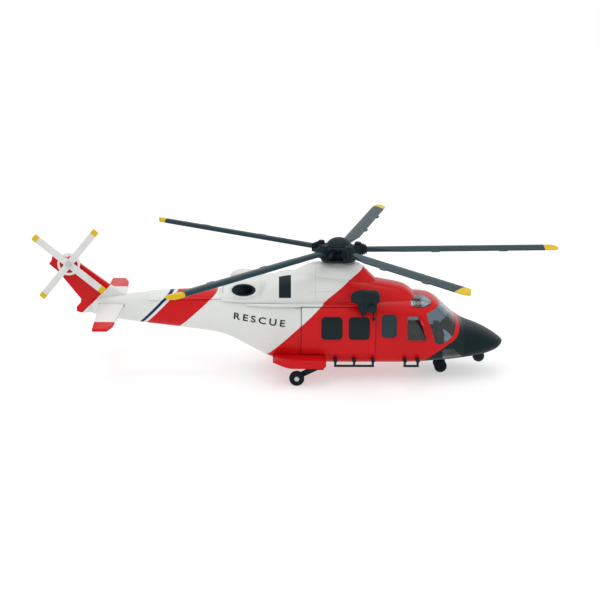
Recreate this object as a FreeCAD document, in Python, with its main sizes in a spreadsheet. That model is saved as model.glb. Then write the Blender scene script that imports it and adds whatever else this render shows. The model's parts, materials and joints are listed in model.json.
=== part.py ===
"""Helicopter scale model at 1:48, a static display toy with rotors, wheels and doors that move.

Frame: +X to the nose, +Y to port, +Z up, millimetres.  The origin is the mouth of the screw hole
in the belly, close under the main rotor mast, which is where a display stand is fastened.
"""
import FreeCAD, Part
import Sketcher

import math
import os
import re

from FreeCAD import Rotation, Vector

doc = FreeCAD.newDocument("HelicopterScaleModel")
sheet = doc.addObject("Spreadsheet::Sheet", "Sizes")

# ---------------------------------------------------------------------------------------------
# Driving dimensions, in millimetres and degrees.  Heights are above the origin.
# ---------------------------------------------------------------------------------------------
SIZES = {
    # general
    "ground_drop": 10.0,        # floor under the wheels, below the origin
    "wall": 1.2,                # moulded shell thickness
    "fit_gap": 0.06,            # gap between two mouldings that are glued or screwed together
    "run_gap": 0.05,            # radial clearance of a shaft in its hole
    # fuselage
    "cabin_half_width": 23.5,
    "cabin_top": 43.5,
    "cabin_front": 50.0,        # where the nose begins to narrow
    "nose_tip": 105.5,
    "boom_start": -30.0,        # where the cabin begins to narrow into the boom
    "boom_end": -160.0,
    "boom_end_half_width": 4.0,
    "nose_split": 78.2,
    "cavity_rear": -126.0,
    # belly plate, stand socket and the screws of the plate
    "plate_front": 58.0,
    "plate_rear": -40.0,
    "plate_half_width": 14.0,
    "plate_skin": 3.2,          # height up to which the belly skin belongs to the plate
    "socket_radius": 1.25,
    "socket_depth": 6.0,
    "socket_boss_radius": 3.2,
    "screw_radius": 1.0,
    "screw_head_radius": 2.0,
    "screw_head_height": 0.9,
    "screw_length": 7.0,
    "screw_inset": 8.0,
    "screw_half_spacing": 9.0,
    "screw_post_radius": 2.3,
    # cabin floor, bulkhead and seats
    "floor_bottom": 6.6,
    "floor_thick": 1.2,
    "floor_front": 66.0,
    "floor_rear": -30.0,
    "bulkhead_thick": 1.2,
    "seat_width": 11.0,
    "seat_depth": 11.0,
    "seat_cushion": 3.0,
    "seat_base": 4.0,
    "seat_back_height": 19.0,
    "seat_back_thick": 2.6,
    "seat_spread": 10.0,
    "pilot_seat_x": 34.0,
    "bench_width": 33.0,
    "rear_bench_x": -27.5,
    "front_bench_x": 30.5,
    "panel_x": 62.0,
    "panel_width": 30.0,
    "panel_height": 12.0,
    "panel_depth": 5.0,
    # doorway and sliding cabin door
    "door_front": 21.0,
    "door_rear": -25.6,
    "door_bottom": 8.8,
    "door_top": 38.2,
    "door_thick": 0.8,
    "door_gap": 0.12,           # between the door and the skin that it slides over
    "door_corner": 3.0,
    "doorway_lap": 2.2,         # how far the closed door laps over the doorway
    "door_travel": 34.0,
    "rail_height": 1.3,
    "rail_depth": 1.3,
    "rail_gap": 0.35,
    "door_window_bottom": 18.3,
    "door_window_top": 32.9,
    "door_window_length": 13.5,
    "door_window_rear_x": -13.3,
    "door_window_front_x": 4.0,
    "window_corner": 2.6,
    # fixed cabin window
    "cabin_window_front": 34.8,
    "cabin_window_rear": 24.9,
    "cabin_window_bottom": 19.3,
    "cabin_window_top": 34.2,
    # engine cowl
    "cowl_front": 47.6,
    "cowl_rear": -77.0,
    "cowl_seam": 41.4,
    "pylon_top": 63.6,
    "boom_cover_rear": -124.0,
    "boom_cover_thick": 0.9,
    # exhausts and intake grilles
    "exhaust_x": -62.8,         # middle of the mouth
    "exhaust_y": 17.6,
    "exhaust_z": 48.8,
    "exhaust_radius": 3.9,
    "exhaust_wall": 0.7,
    "exhaust_sleeve_wall": 0.8,
    "exhaust_length": 14.0,
    "exhaust_toe": 33.0,
    "grille_front": -32.5,
    "grille_rear": -40.2,
    "grille_bottom": 43.4,
    "grille_top": 57.6,
    # main rotor
    "mast_x": -2.0,             # the rotor's axis, just behind the origin
    "rotor_radius": 143.75,
    "rotor_height": 71.2,
    "rotor_phase": 6.8,
    "blade_pitch": 3.0,
    "mast_radius": 1.5,
    "mast_foot": 47.9,
    "bush_radius": 4.2,
    "bush_flange_radius": 6.0,
    "bush_flange_height": 0.8,
    "bush_depth": 5.0,
    "bearing_radius": 4.0,
    "hub_radius": 11.4,
    "hub_thick": 1.4,
    "hub_gap": 0.7,
    "hub_arm_reach": 16.0,
    "hub_arm_width": 6.4,
    "hub_arm_thick": 1.5,
    "cap_radius": 8.2,
    "cap_height": 6.3,
    "blade_chord": 8.8,
    "blade_root_chord": 4.6,
    "blade_flare_radius": 40.0,
    "blade_root_thick": 1.2,
    "blade_thick": 3.2,
    "blade_tail_thick": 0.7,
    "blade_tip_length": 9.5,
    "blade_tab_length": 6.5,
    "blade_tab_width": 1.3,
    # fin, tailplane and tail rotor
    "fin_thick": 3.2,
    "tailplane_half_span": 60.0,
    "tailplane_root_front": -139.2,
    "tailplane_root_rear": -155.4,
    "tailplane_tip_front": -141.6,
    "tailplane_tip_rear": -153.4,
    "tailplane_clip_length": 9.0,
    "tailplane_clip_depth": 2.8,
    "tailplane_height": 35.0,
    "tailplane_thick": 1.8,
    "tail_rotor_x": -173.2,
    "tail_rotor_z": 63.1,
    "tail_rotor_radius": 28.1,
    "tail_rotor_chord": 4.3,
    "tail_rotor_thick": 1.2,
    "tail_rotor_phase": 50.5,
    "tail_rotor_plane": 8.4,
    "tail_ring_radius": 6.4,
    "tail_ring_width": 1.4,
    "tail_hub_radius": 2.9,
    "tail_pin_radius": 0.8,
    "tail_boss_radius": 3.4,
    "tail_boss_reach": 6.9,
    "tail_cap_radius": 1.9,
    "tail_cap_height": 1.1,
    # sponsons and main wheels
    "sponson_front": -10.4,
    "sponson_rear": -44.0,
    "sponson_reach": 36.0,
    "sponson_top": 8.1,
    "sponson_bottom": 2.6,
    "main_wheel_x": -28.7,
    "main_wheel_y": 31.0,
    "main_wheel_radius": 4.8,
    "main_wheel_width": 3.2,
    "main_hub_radius": 1.9,
    "axle_radius": 0.7,
    "leg_thick": 1.5,
    "leg_pivot_x": -15.2,
    # nose gear
    "nose_wheel_x": 65.7,
    "nose_wheel_radius": 4.1,
    "nose_wheel_width": 2.4,
    "nose_wheel_y": 3.9,
    "nose_leg_radius": 1.6,
    # small fittings
    "turret_x": 90.9,
    "turret_radius": 3.9,
    "turret_z": 0.0,
    "step_radius": 0.75,
    "step_foot_radius": 1.3,
    "step_drop": 1.0,
    "step_top": 5.2,
    "rear_step_front": 20.6,
    "rear_step_rear": -4.9,
    "front_step_front": 49.2,
    "front_step_rear": 39.4,
    "hoist_x": 14.0,
    "hoist_y": 27.4,
    "hoist_z": 46.0,
    "hoist_radius": 3.6,
    "hoist_length": 18.6,
}


def fill_sheet():
    """Write every driving dimension to its own named cell."""
    for row, (alias, value) in enumerate(SIZES.items(), start=1):
        sheet.set("A%d" % row, alias)
        sheet.set("B%d" % row, str(value))
        sheet.setAlias("B%d" % row, alias)
    doc.recompute()


fill_sheet()

WORD = re.compile(r"[a-z_]{2,}")
FORWARD = Rotation()
ALONG_X = Rotation(Vector(0, 1, 0), 90)      # turns a local Z axis to +X
ALONG_PORT = Rotation(Vector(1, 0, 0), -90)  # turns a local Z axis to +Y
TO_STARBOARD = Rotation(Vector(1, 0, 0), 90)  # turns a local Z axis to -Y

sub_parts = []


def size(alias):
    """Read one driving dimension back from the sheet."""
    return float(sheet.get(alias))


def bind(item, prop, expression):
    """Bind a property to an expression in which the sheet's names are written bare."""
    text = WORD.sub(lambda m: "Sizes." + m.group() if m.group() in SIZES else m.group(), expression)
    item.setExpression(prop, text)


def place(item, at, turn=FORWARD):
    """Turn an object and bind its position to three expressions."""
    item.Placement.Rotation = turn
    for axis, expression in zip("xyz", at):
        bind(item, "Placement.Base." + axis, expression)
    return item


def box(name, lengths, at, turn=FORWARD):
    """A box whose first corner is at a point."""
    item = doc.addObject("Part::Box", name)
    for prop, expression in zip(("Length", "Width", "Height"), lengths):
        bind(item, prop, expression)
    return place(item, at, turn)


def cylinder(name, radius, height, at, turn=FORWARD):
    """A cylinder that stands on a point."""
    item = doc.addObject("Part::Cylinder", name)
    bind(item, "Radius", radius)
    bind(item, "Height", height)
    return place(item, at, turn)


def ball(name, radius, at):
    """A sphere about a point."""
    item = doc.addObject("Part::Sphere", name)
    bind(item, "Radius", radius)
    return place(item, at)


def fuse(name, items):
    """Join several objects into one."""
    item = doc.addObject("Part::MultiFuse", name)
    item.Shapes = items
    item.Refine = True
    return item


def cut(name, base, tool):
    """Take one object, or a list of them, away from another."""
    item = doc.addObject("Part::Cut", name)
    item.Base = base
    item.Tool = fuse(name + "_tools", tool) if isinstance(tool, list) else tool
    return item


def common(name, base, tool):
    """Keep what two objects share."""
    item = doc.addObject("Part::Common", name)
    item.Base = base
    item.Tool = tool
    return item


def mirrored(name, source):
    """The same thing on the port side."""
    item = doc.addObject("Part::Mirroring", name)
    item.Source = source
    item.Normal = Vector(0, 1, 0)
    return item


def turned_copy(name, source, axis, degrees, centre=Vector()):
    """A copy of an object turned about an axis through a point."""
    doc.recompute()
    item = doc.addObject("Part::Feature", name)
    shape = source.Shape.copy()
    shape.rotate(centre, axis, degrees)
    item.Shape = shape
    return item


def keep(name, item):
    """Name a finished object as a sub-part of the model."""
    item.Label = name
    sub_parts.append(item)
    return item


def keep_pair(name, starboard):
    """Keep a starboard sub-part and its mirror image to port."""
    keep(name + "_starboard", starboard)
    keep(name + "_port", mirrored(name + "_port_mirror", starboard))


def sketch_outline(body, plane, points):
    """A closed sketch of straight lines whose corners are bound to expressions."""
    sketch = body.newObject("Sketcher::SketchObject", body.Name + "_sketch")
    origin_plane = [f for f in body.Origin.OriginFeatures if f.Role == plane][0]
    sketch.AttachmentSupport = [(origin_plane, "")]
    sketch.MapMode = "FlatFace"
    count = len(points)
    probe = sheet_values(points)
    for index in range(count):
        start = Vector(*probe[index], 0)
        end = Vector(*probe[(index + 1) % count], 0)
        sketch.addGeometry(Part.LineSegment(start, end), False)
    for index in range(count):
        sketch.addConstraint(Sketcher.Constraint("Coincident", index, 2, (index + 1) % count, 1))
    for index, pair in enumerate(points):
        for kind, value, expression in zip(("DistanceX", "DistanceY"), probe[index], pair):
            number = sketch.addConstraint(Sketcher.Constraint(kind, -1, 1, index, 1, value))
            bind(sketch, "Constraints[%d]" % number, expression)
    return sketch


def sheet_values(points):
    """Work out pairs of expressions as numbers, for the first shape of a sketch."""
    probe = doc.getObject("Probe") or doc.addObject("App::FeaturePython", "Probe")
    if "Value" not in probe.PropertiesList:
        probe.addProperty("App::PropertyFloat", "Value")
    values = []
    for pair in points:
        numbers = []
        for expression in pair:
            bind(probe, "Value", expression)
            probe.recompute()
            numbers.append(probe.Value)
        values.append(numbers)
    return values


def pad(name, plane, points, length, at=("0", "0", "0"), turn=FORWARD, midplane=False, corner=None):
    """A padded outline, with its corner edges rounded if a radius is given."""
    body = doc.addObject("PartDesign::Body", name)
    sketch = sketch_outline(body, plane, points)
    feature = body.newObject("PartDesign::Pad", name + "_pad")
    feature.Profile = sketch
    feature.Midplane = midplane
    bind(feature, "Length", length)
    if corner:
        doc.recompute()
        normal = {"XY_Plane": Vector(0, 0, 1), "XZ_Plane": Vector(0, 1, 0), "YZ_Plane": Vector(1, 0, 0)}
        edges = edges_along(feature, normal[plane])
        fillet = body.newObject("PartDesign::Fillet", name + "_corners")
        fillet.Base = (feature, edges)
        bind(fillet, "Radius", corner)
        body.Tip = fillet
    return place(body, at, turn)


def edges_along(feature, direction):
    """Names of the straight edges of a feature that run along a direction."""
    names = []
    for number, edge in enumerate(feature.Shape.Edges, start=1):
        if isinstance(edge.Curve, Part.Line) and abs(abs(edge.Curve.Direction.dot(direction)) - 1) < 1e-6:
            names.append("Edge%d" % number)
    return names


def revolve(name, points, at, turn=FORWARD):
    """A profile of (radius, height) pairs turned about the local Z axis."""
    body = doc.addObject("PartDesign::Body", name)
    sketch = sketch_outline(body, "XZ_Plane", points)
    feature = body.newObject("PartDesign::Revolution", name + "_turned")
    feature.Profile = sketch
    feature.ReferenceAxis = (sketch, ["V_Axis"])
    feature.Angle = 360
    return place(body, at, turn)


# ---------------------------------------------------------------------------------------------
# Lofted skins.  A section is a superellipse with its own top, bottom, half width and widest height.
# ---------------------------------------------------------------------------------------------
SECTION_POINTS = 32

# station x, bottom, top, half width, widest height, roundness above, roundness below
BOOM_STATIONS = [
    (-144.0, 24.8, 40.8, 5.2, 33.2, 2.2, 2.2),
    (-124.0, 22.2, 42.8, 7.0, 32.5, 2.3, 2.3),
    (-100.0, 19.5, 43.6, 9.6, 31.5, 2.5, 2.4),
    (-78.0, 16.6, 43.8, 13.0, 30.3, 2.8, 2.5),
    (-66.0, 12.2, 43.8, 16.6, 27.5, 3.0, 2.7),
    (-55.0, 7.0, 43.7, 20.0, 23.5, 3.0, 3.0),
    (-44.0, 2.4, 43.6, 22.4, 20.0, 3.0, 3.5),
]
NOSE_STATIONS = [
    (56.0, 0.7, 42.6, 17.5, 2.9, 4.0),
    (59.5, 0.8, 41.2, 17.0, 2.8, 3.8),
    (62.5, 0.8, 39.2, 16.8, 2.7, 3.7),
    (66.0, 0.9, 35.5, 16.5, 2.7, 3.4),
    (71.0, 1.0, 30.9, 16.0, 2.6, 3.2),
    (75.5, 1.3, 27.0, 15.0, 2.5, 3.0),
    (78.2, 1.5, 25.1, 14.4, 2.4, 2.8),
    (84.0, 2.0, 23.3, 13.5, 2.3, 2.6),
    (91.0, 2.8, 20.7, 12.6, 2.2, 2.4),
    (97.0, 4.1, 17.7, 11.8, 2.2, 2.3),
    (102.0, 6.3, 14.4, 11.2, 2.1, 2.1),
    (104.6, 8.8, 12.5, 10.9, 2.0, 2.0),
]


def nose_half_width(x):
    """The nose narrows as an ellipse in plan, from the cabin to its tip."""
    share = (x - size("cabin_front")) / (size("nose_tip") + 0.4 - size("cabin_front"))
    return size("cabin_half_width") * math.sqrt(1.0 - share * share)


def fuselage_stations():
    """The stations that shape the lower fuselage, from the boom's end to the nose."""
    half = size("cabin_half_width")
    top = size("cabin_top")
    stations = [(size("boom_end"), 28.2, 38.6, size("boom_end_half_width"), 33.6, 2.0, 2.0)]
    for x, low, high, width, wide, above, below in BOOM_STATIONS:
        stations.append((x, low, high, min(width, half - 1.0), wide, above, below))
    for x, low in ((size("boom_start"), 0.3), (-18.0, 0.0), (38.0, 0.0), (size("cabin_front") - 2.0, 0.4)):
        stations.append((x, low, top, half, 18.0, 3.0, 4.4))
    for x, low, high, wide, above, below in NOSE_STATIONS:
        stations.append((x, low, high, nose_half_width(x), wide, above, below))
    stations.append((size("nose_tip"), 10.0, 11.6, 1.3, 10.8, 2.0, 2.0))
    return stations


def slopes(xs, ys):
    """Slopes of a smooth curve through points, flat wherever the points turn back."""
    steps = [(ys[k + 1] - ys[k]) / (xs[k + 1] - xs[k]) for k in range(len(xs) - 1)]
    middle = []
    for one, two in zip(steps, steps[1:]):
        middle.append(2.0 * one * two / (one + two) if one * two > 0 else 0.0)
    return [steps[0]] + middle + [steps[-1]]


def smooth_value(xs, ys, x):
    """A value between points on the smooth curve through them."""
    k = max(0, min(len(xs) - 2, sum(1 for start in xs if start <= x) - 1))
    span = xs[k + 1] - xs[k]
    u = (x - xs[k]) / span
    slope = slopes(xs, ys)
    return (
        (1 + 2 * u) * (1 - u) ** 2 * ys[k]
        + u * (1 - u) ** 2 * span * slope[k]
        + u * u * (3 - 2 * u) * ys[k + 1]
        + u * u * (u - 1) * span * slope[k + 1]
    )


def dense_sections(stations, start, end, step):
    """Sections at an even spacing between two planes, shaped by the stations."""
    columns = list(zip(*stations))
    count = max(2, round((end - start) / step))
    rows = []
    for index in range(count + 1):
        x = start + (end - start) * index / count
        rows.append((x, *(smooth_value(columns[0], column, x) for column in columns[1:])))
    return rows


def section_ring(section, offset):
    """The points round one section, moved outward by an offset."""
    x, low, high, half, wide, above, below = section
    ring = []
    for index in range(SECTION_POINTS):
        turn = 2.0 * math.pi * (index + 0.5) / SECTION_POINTS
        c, s = math.cos(turn), math.sin(turn)
        power, reach = (above, high + offset - wide) if s > 0 else (below, wide - low + offset)
        y = math.copysign(abs(c) ** (2.0 / power), c) * (half + offset)
        z = wide + math.copysign(abs(s) ** (2.0 / power), s) * reach
        ring.append(Vector(x, y, z))
    return ring


def skin_solid(sections, offset=0.0):
    """A closed solid whose side is one smooth cubic surface along a row of sections."""
    rings = [section_ring(section, offset) for section in sections]
    spans = len(rings) - 3
    surface = Part.BSplineSurface()
    surface.buildFromPolesMultsKnots(
        rings,
        [4] + [1] * (spans - 1) + [4],
        [1] * (SECTION_POINTS + 1),
        [float(k) for k in range(spans + 1)],
        [float(k) for k in range(SECTION_POINTS + 1)],
        False,
        True,
        3,
        3,
    )
    side = surface.toShape()
    ends = [e for e in side.Edges if len(e.Vertexes) == 1 and abs(e.BoundBox.XLength) < 1e-6]
    caps = [Part.Face(Part.Wire([edge])) for edge in ends]
    closed = Part.makeShell([side] + caps)
    closed.sewShape()
    solid = Part.makeSolid(closed)
    if solid.Volume < 0:
        solid.reverse()
    return solid


def lofted(name, sections, offset=0.0):
    """A smooth solid along a row of sections, as an object of the document."""
    item = doc.addObject("Part::Feature", name)
    item.Shape = skin_solid(sections, offset)
    return item


def half_space_boxes():
    """Tool boxes that split the fuselage skin into its mouldings."""
    nose = box("nose_region", ("60", "120", "120"), ("nose_split + fit_gap", "-60", "-40"))
    body = box("body_region", ("300", "120", "120"), ("nose_split - 300", "-60", "-40"))
    return nose, body


def fuselage_sections():
    """Sections along the whole fuselage, closer together at the nose tip."""
    stations = fuselage_stations()
    near_tip = size("nose_tip") - 5.5
    rows = dense_sections(stations, size("boom_end"), near_tip, 5.0)
    return rows + dense_sections(stations, near_tip, size("nose_tip"), 0.9)[1:]


fuselage = lofted("fuselage_outside", fuselage_sections())
clearance_skin = lofted("fuselage_clearance", fuselage_sections(), size("fit_gap"))
cavity = lofted(
    "fuselage_cavity",
    dense_sections(fuselage_stations(), size("cavity_rear"), size("nose_tip") - 9.0, 5.0),
    -size("wall"),
)
inside_clearance = lofted(
    "fuselage_inside",
    dense_sections(fuselage_stations(), size("cavity_rear"), size("nose_tip") - 9.0, 5.0),
    -size("wall") - size("fit_gap"),
)
whole_skin = cut("whole_skin", fuselage, cavity)
nose_region, body_region = half_space_boxes()


def window_tool(name, corners, inset="0", corner=None):
    """A prism to starboard whose outline in side view is the opening of a window."""
    return pad(name, "XZ_Plane", corners, "60", at=("0", inset, "0"), corner=corner)


# the outline of each glazed opening, in side view
WINDSHIELD = [
    ("53.4", "34.6"), ("59.5", "15.6"), ("63.2", "14.6"), ("68.0", "17.2"),
    ("71.3", "21.0"), ("72.9", "26.2"), ("73.5", "40.0"), ("64.2", "38.6"),
]
EYEBROW = [
    ("43.8", "38.4"), ("51.4", "37.6"), ("56.4", "39.0"), ("57.2", "40.8"), ("53.0", "43.0"),
    ("43.8", "43.4"),
]
COCKPIT_WINDOW = [("41.6", "17.7"), ("54.1", "17.6"), ("49.4", "32.9"), ("41.4", "32.9")]
CHIN_WINDOW = [("63.6", "11.4"), ("71.5", "11.5"), ("77.2", "5.6"), ("76.8", "4.4"), ("65.4", "3.4")]
CABIN_WINDOW = [
    ("cabin_window_rear", "cabin_window_bottom"),
    ("cabin_window_front", "cabin_window_bottom"),
    ("cabin_window_front", "cabin_window_top"),
    ("cabin_window_rear", "cabin_window_top"),
]
GLAZING = {
    "windshield": (WINDSHIELD, "-0.8", "1.2"),
    "eyebrow_window": (EYEBROW, "-5", "0.9"),
    "cockpit_window": (COCKPIT_WINDOW, "-5", "0.9"),
    "chin_window": (CHIN_WINDOW, "-5", "0.5"),
    "cabin_window": (CABIN_WINDOW, "-5", "window_corner"),
}


def glazing():
    """Cut each pane from the skin's own wall, and give back the openings to cut in the shell."""
    openings = []
    for name, (outline, inset, corner) in GLAZING.items():
        tool = window_tool(name + "_tool", outline, inset, corner)
        pane = common(name + "_pane", whole_skin, tool)
        keep_pair(name, pane)
        openings.append(tool)
        openings.append(mirrored(name + "_tool_port", tool))
    return openings


def doorway():
    """The rectangular cabin doorway behind the sliding door."""
    outline = [
        ("door_rear + doorway_lap", "door_bottom + doorway_lap"),
        ("door_front - doorway_lap", "door_bottom + doorway_lap"),
        ("door_front - doorway_lap", "door_top - doorway_lap"),
        ("door_rear + doorway_lap", "door_top - doorway_lap"),
    ]
    tool = window_tool("doorway_tool", outline, "-8", "door_corner")
    return [tool, mirrored("doorway_tool_port", tool)]


def door_band(name, near, far):
    """The layer of space outside the skin between two offsets, which the door slides in."""
    stations = fuselage_stations()
    rear = size("door_rear") - 6.0
    front = size("door_front") + 6.0
    outer = lofted(name + "_outer", dense_sections(stations, rear, front, 5.0), far)
    inner = lofted(name + "_inner", dense_sections(stations, rear - 5.0, front + 5.0, 5.0), near)
    return cut(name, outer, inner)


DOOR_WINDOWS = ("door_window_rear_x", "door_window_front_x")


def door_window_tools():
    """The two openings for the panes of the starboard door."""
    tools = []
    for number, left in enumerate(DOOR_WINDOWS):
        outline = [
            (left, "door_window_bottom"),
            (left + " + door_window_length", "door_window_bottom"),
            (left + " + door_window_length", "door_window_top"),
            (left, "door_window_top"),
        ]
        tools.append(window_tool("door_window_tool_%d" % number, outline, "-8", "window_corner"))
    return tools


def sliding_doors():
    """Two cabin doors that slide aft outside the skin, each with two panes."""
    layer = door_band("door_layer", size("door_gap"), size("door_gap") + size("door_thick"))
    outline = [
        ("door_rear", "door_bottom"),
        ("door_front", "door_bottom"),
        ("door_front", "door_top"),
        ("door_rear", "door_top"),
    ]
    shape = window_tool("door_tool", outline, "-8", "1.2")
    leaf = common("door_leaf", layer, shape)
    tools = door_window_tools()
    keep_pair("sliding_door", cut("sliding_door_panel", leaf, tools))
    panes = common("door_panes", layer, fuse("door_window_tools", tools))
    keep_pair("door_windows", panes)


def door_rails():
    """The track above each door, part of the fuselage moulding."""
    stations = fuselage_stations()
    rear = size("door_rear") - size("door_travel") - 1.5
    front = size("door_front") + 1.0
    outer = lofted("rail_outer", dense_sections(stations, rear, front, 5.0), size("rail_depth"))
    strip = box(
        "rail_strip", ("200", "80", "rail_height"), ("-100", "-40", "door_top + rail_gap")
    )
    return cut("door_rails", common("rail_band", outer, strip), cavity)


def plate_tool():
    """The rectangle of belly skin that belongs to the belly plate."""
    return box(
        "plate_tool",
        ("plate_front - plate_rear", "2 * plate_half_width", "plate_skin + 30"),
        ("plate_rear", "-plate_half_width", "-30"),
    )


SCREW_PLACES = [
    ("plate_front - screw_inset", "screw_half_spacing"),
    ("plate_front - screw_inset", "-screw_half_spacing"),
    ("plate_rear + screw_inset", "screw_half_spacing"),
    ("plate_rear + screw_inset", "-screw_half_spacing"),
]

# station x, top, half width, roundness: the engine cowl and the fairing round the mast
COWL_STATIONS = [
    (-77.0, 46.4, 12.2, 3.0),
    (-66.0, 49.2, 15.4, 3.4),
    (-58.0, 51.0, 16.4, 3.6),
    (-45.0, 53.8, 16.6, 3.3),
    (-31.7, 56.4, 16.4, 3.1),
    (-18.0, 57.0, 16.2, 3.0),
    (-5.0, 56.8, 16.0, 2.8),
    (10.0, 54.2, 15.9, 2.7),
    (21.8, 52.2, 15.6, 2.6),
    (38.0, 49.2, 14.6, 2.5),
    (40.5, 48.4, 14.4, 2.5),
    (44.5, 46.2, 14.0, 2.5),
]
FAIRING_STATIONS = [
    (-33.0, 55.5, 8.0),
    (-26.0, 59.6, 9.6),
    (-18.5, 62.8, 10.8),
    (-8.0, 63.4, 11.5),
    (7.0, 63.4, 11.2),
    (12.6, 62.0, 10.6),
    (17.4, 57.0, 9.8),
    (21.5, 53.0, 9.0),
]


def cowl_sections(stations, start, end):
    """Sections of the cowl; each is widest below its seam with the fuselage."""
    wide = size("cowl_seam") - 3.4
    rows = [(x, 20.0, top, half, wide, above, 2.5) for x, top, half, above in stations]
    return dense_sections(rows, start, end, 4.0)


def cowl_solid(name, offset):
    """The engine deck and the mast fairing as one solid, before the fuselage is cut from it."""
    deck_stations = COWL_STATIONS + [(size("cowl_front"), 42.6, 13.6, 2.5)]
    fairing_stations = [(x, top, half, 2.8) for x, top, half in FAIRING_STATIONS]
    rear, front = size("cowl_rear"), size("cowl_front")
    deck = lofted(name + "_deck", cowl_sections(deck_stations, rear - offset, front + offset), offset)
    fairing_ends = (FAIRING_STATIONS[0][0] - offset, FAIRING_STATIONS[-1][0] + offset)
    fairing = lofted(name + "_fairing", cowl_sections(fairing_stations, *fairing_ends), offset)
    return fuse(name, [deck, fairing])


def engine_cowl():
    """The upper moulding with its intake grilles; the exhausts and the mast bush pass through it."""
    outside = cowl_solid("cowl_outside", 0.0)
    inside = cowl_solid("cowl_inside", -size("wall"))
    wall_skin = cut("cowl_wall", outside, inside)
    rail_top = "door_top + rail_gap + rail_height + 0.25"
    above_seam = box("above_seam", ("200", "80", "60"), ("-100", "-40", rail_top))
    sleeve = exhaust_tube(
        "exhaust_sleeve", "exhaust_radius + fit_gap + exhaust_sleeve_wall", "5 - exhaust_length", "9"
    )
    ending = cut("exhaust_sleeve_ended", sleeve, beyond_mouth("sleeve", "0.4"))
    blank = fuse(
        "cowl_blank",
        [common("cowl_above", wall_skin, above_seam), ending, mirrored("sleeve_port", ending)],
    )
    trimmed = cut("cowl_trimmed", blank, clearance_skin)
    grille_outline = [
        ("grille_rear", "grille_bottom"),
        ("grille_front", "grille_bottom"),
        ("grille_front", "grille_top - 1"),
        ("grille_rear", "grille_top - 2"),
    ]
    grille_tool = window_tool("grille_tool", grille_outline, "-6")
    keep_pair("intake_grille", common("grille_plate", trimmed, grille_tool))
    exhaust_tool = exhaust_tube("exhaust_tool", "exhaust_radius + fit_gap", "-exhaust_length - 1", "9")
    bush_hole = cylinder("bush_hole", "bush_radius + fit_gap", "30", ("mast_x", "0", "pylon_top - 20"))
    tools = [
        grille_tool,
        mirrored("grille_tool_port", grille_tool),
        exhaust_tool,
        mirrored("exhaust_tool_port", exhaust_tool),
        bush_hole,
    ]
    keep("engine_cowl", cut("cowl_moulding", trimmed, tools))


def exhaust_tube(name, radius, start, end):
    """A round bar along the exhaust's axis, which points aft and outward from its starboard mouth."""
    toe = math.radians(size("exhaust_toe"))
    direction = Vector(-math.cos(toe), -math.sin(toe), 0)
    turn = Rotation(Vector(0, 0, 1), direction)
    length = "%s - (%s)" % (end, start)
    bar = cylinder(name + "_round", radius, length, ("0", "0", start))
    doc.recompute()
    item = doc.addObject("Part::Feature", name)
    item.Shape = Part.makeSolid(bar.Shape.Shells[0])
    return place(item, ("exhaust_x", "-exhaust_y", "exhaust_z"), turn)


def beyond_mouth(name, inset):
    """The space outboard of the exhaust's mouth, moved inboard by an inset."""
    return box(
        name + "_beyond_mouth", ("60", "20", "40"), ("-100", "-exhaust_y - 20 + " + inset, "30")
    )


def exhausts():
    """Two exhaust stubs whose mouths are trimmed parallel to the side of the cowl."""
    pipe = exhaust_tube("exhaust_pipe", "exhaust_radius", "-exhaust_length", "9")
    bore = exhaust_tube("exhaust_bore", "exhaust_radius - exhaust_wall", "2 - exhaust_length", "12")
    outboard = beyond_mouth("pipe", "0")
    keep_pair("exhaust", cut("exhaust_trimmed", pipe, [bore, outboard, clearance_skin]))


def boom_top_cover():
    """The raised cover along the top of the boom, over the tail drive."""
    thick = size("boom_cover_thick")
    sections = dense_sections(
        fuselage_stations(), size("boom_cover_rear"), size("cowl_rear") - size("fit_gap"), 5.0
    )
    layer = lofted("cover_layer", sections, thick)
    outline = [
        ("boom_cover_rear - 1", "38.8"),
        ("cowl_rear + 1", "41.4"),
        ("cowl_rear + 1", "60"),
        ("boom_cover_rear - 1", "60"),
    ]
    region = pad("cover_region", "XZ_Plane", outline, "60", midplane=True)
    keep("boom_top_cover", cut("cover_shell", common("cover_block", layer, region), clearance_skin))


# ---------------------------------------------------------------------------------------------
# Tail
# ---------------------------------------------------------------------------------------------
FIN_OUTLINE = [
    ("-137", "40.6"), ("-148.6", "47.3"), ("-167.8", "61.8"), ("-182.0", "67.9"), ("-184.7", "66.1"),
    ("-185.2", "63.6"), ("-186.9", "61.4"), ("-181.9", "57.0"), ("-178.7", "53.2"), ("-167.2", "38.2"),
    ("-167.6", "35.6"), ("-170.3", "32.6"), ("-170.1", "29.8"), ("-166.4", "28.9"), ("-158", "29.4"),
    ("-150", "34"),
]


def tailplane():
    """One stabiliser moulding through the boom, tapered to its clipped tips."""
    outline = [
        ("tailplane_root_front", "0"),
        ("tailplane_tip_front", "tailplane_half_span - tailplane_clip_length"),
        ("tailplane_tip_front - tailplane_clip_depth", "tailplane_half_span"),
        ("tailplane_tip_rear", "tailplane_half_span"),
        ("tailplane_root_rear", "0"),
        ("tailplane_tip_rear", "-tailplane_half_span"),
        ("tailplane_tip_front - tailplane_clip_depth", "-tailplane_half_span"),
        ("tailplane_tip_front", "tailplane_clip_length - tailplane_half_span"),
    ]
    blank = pad(
        "tailplane_blank", "XY_Plane", outline, "tailplane_thick",
        at=("0", "0", "tailplane_height - tailplane_thick / 2"),
    )
    return blank


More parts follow.
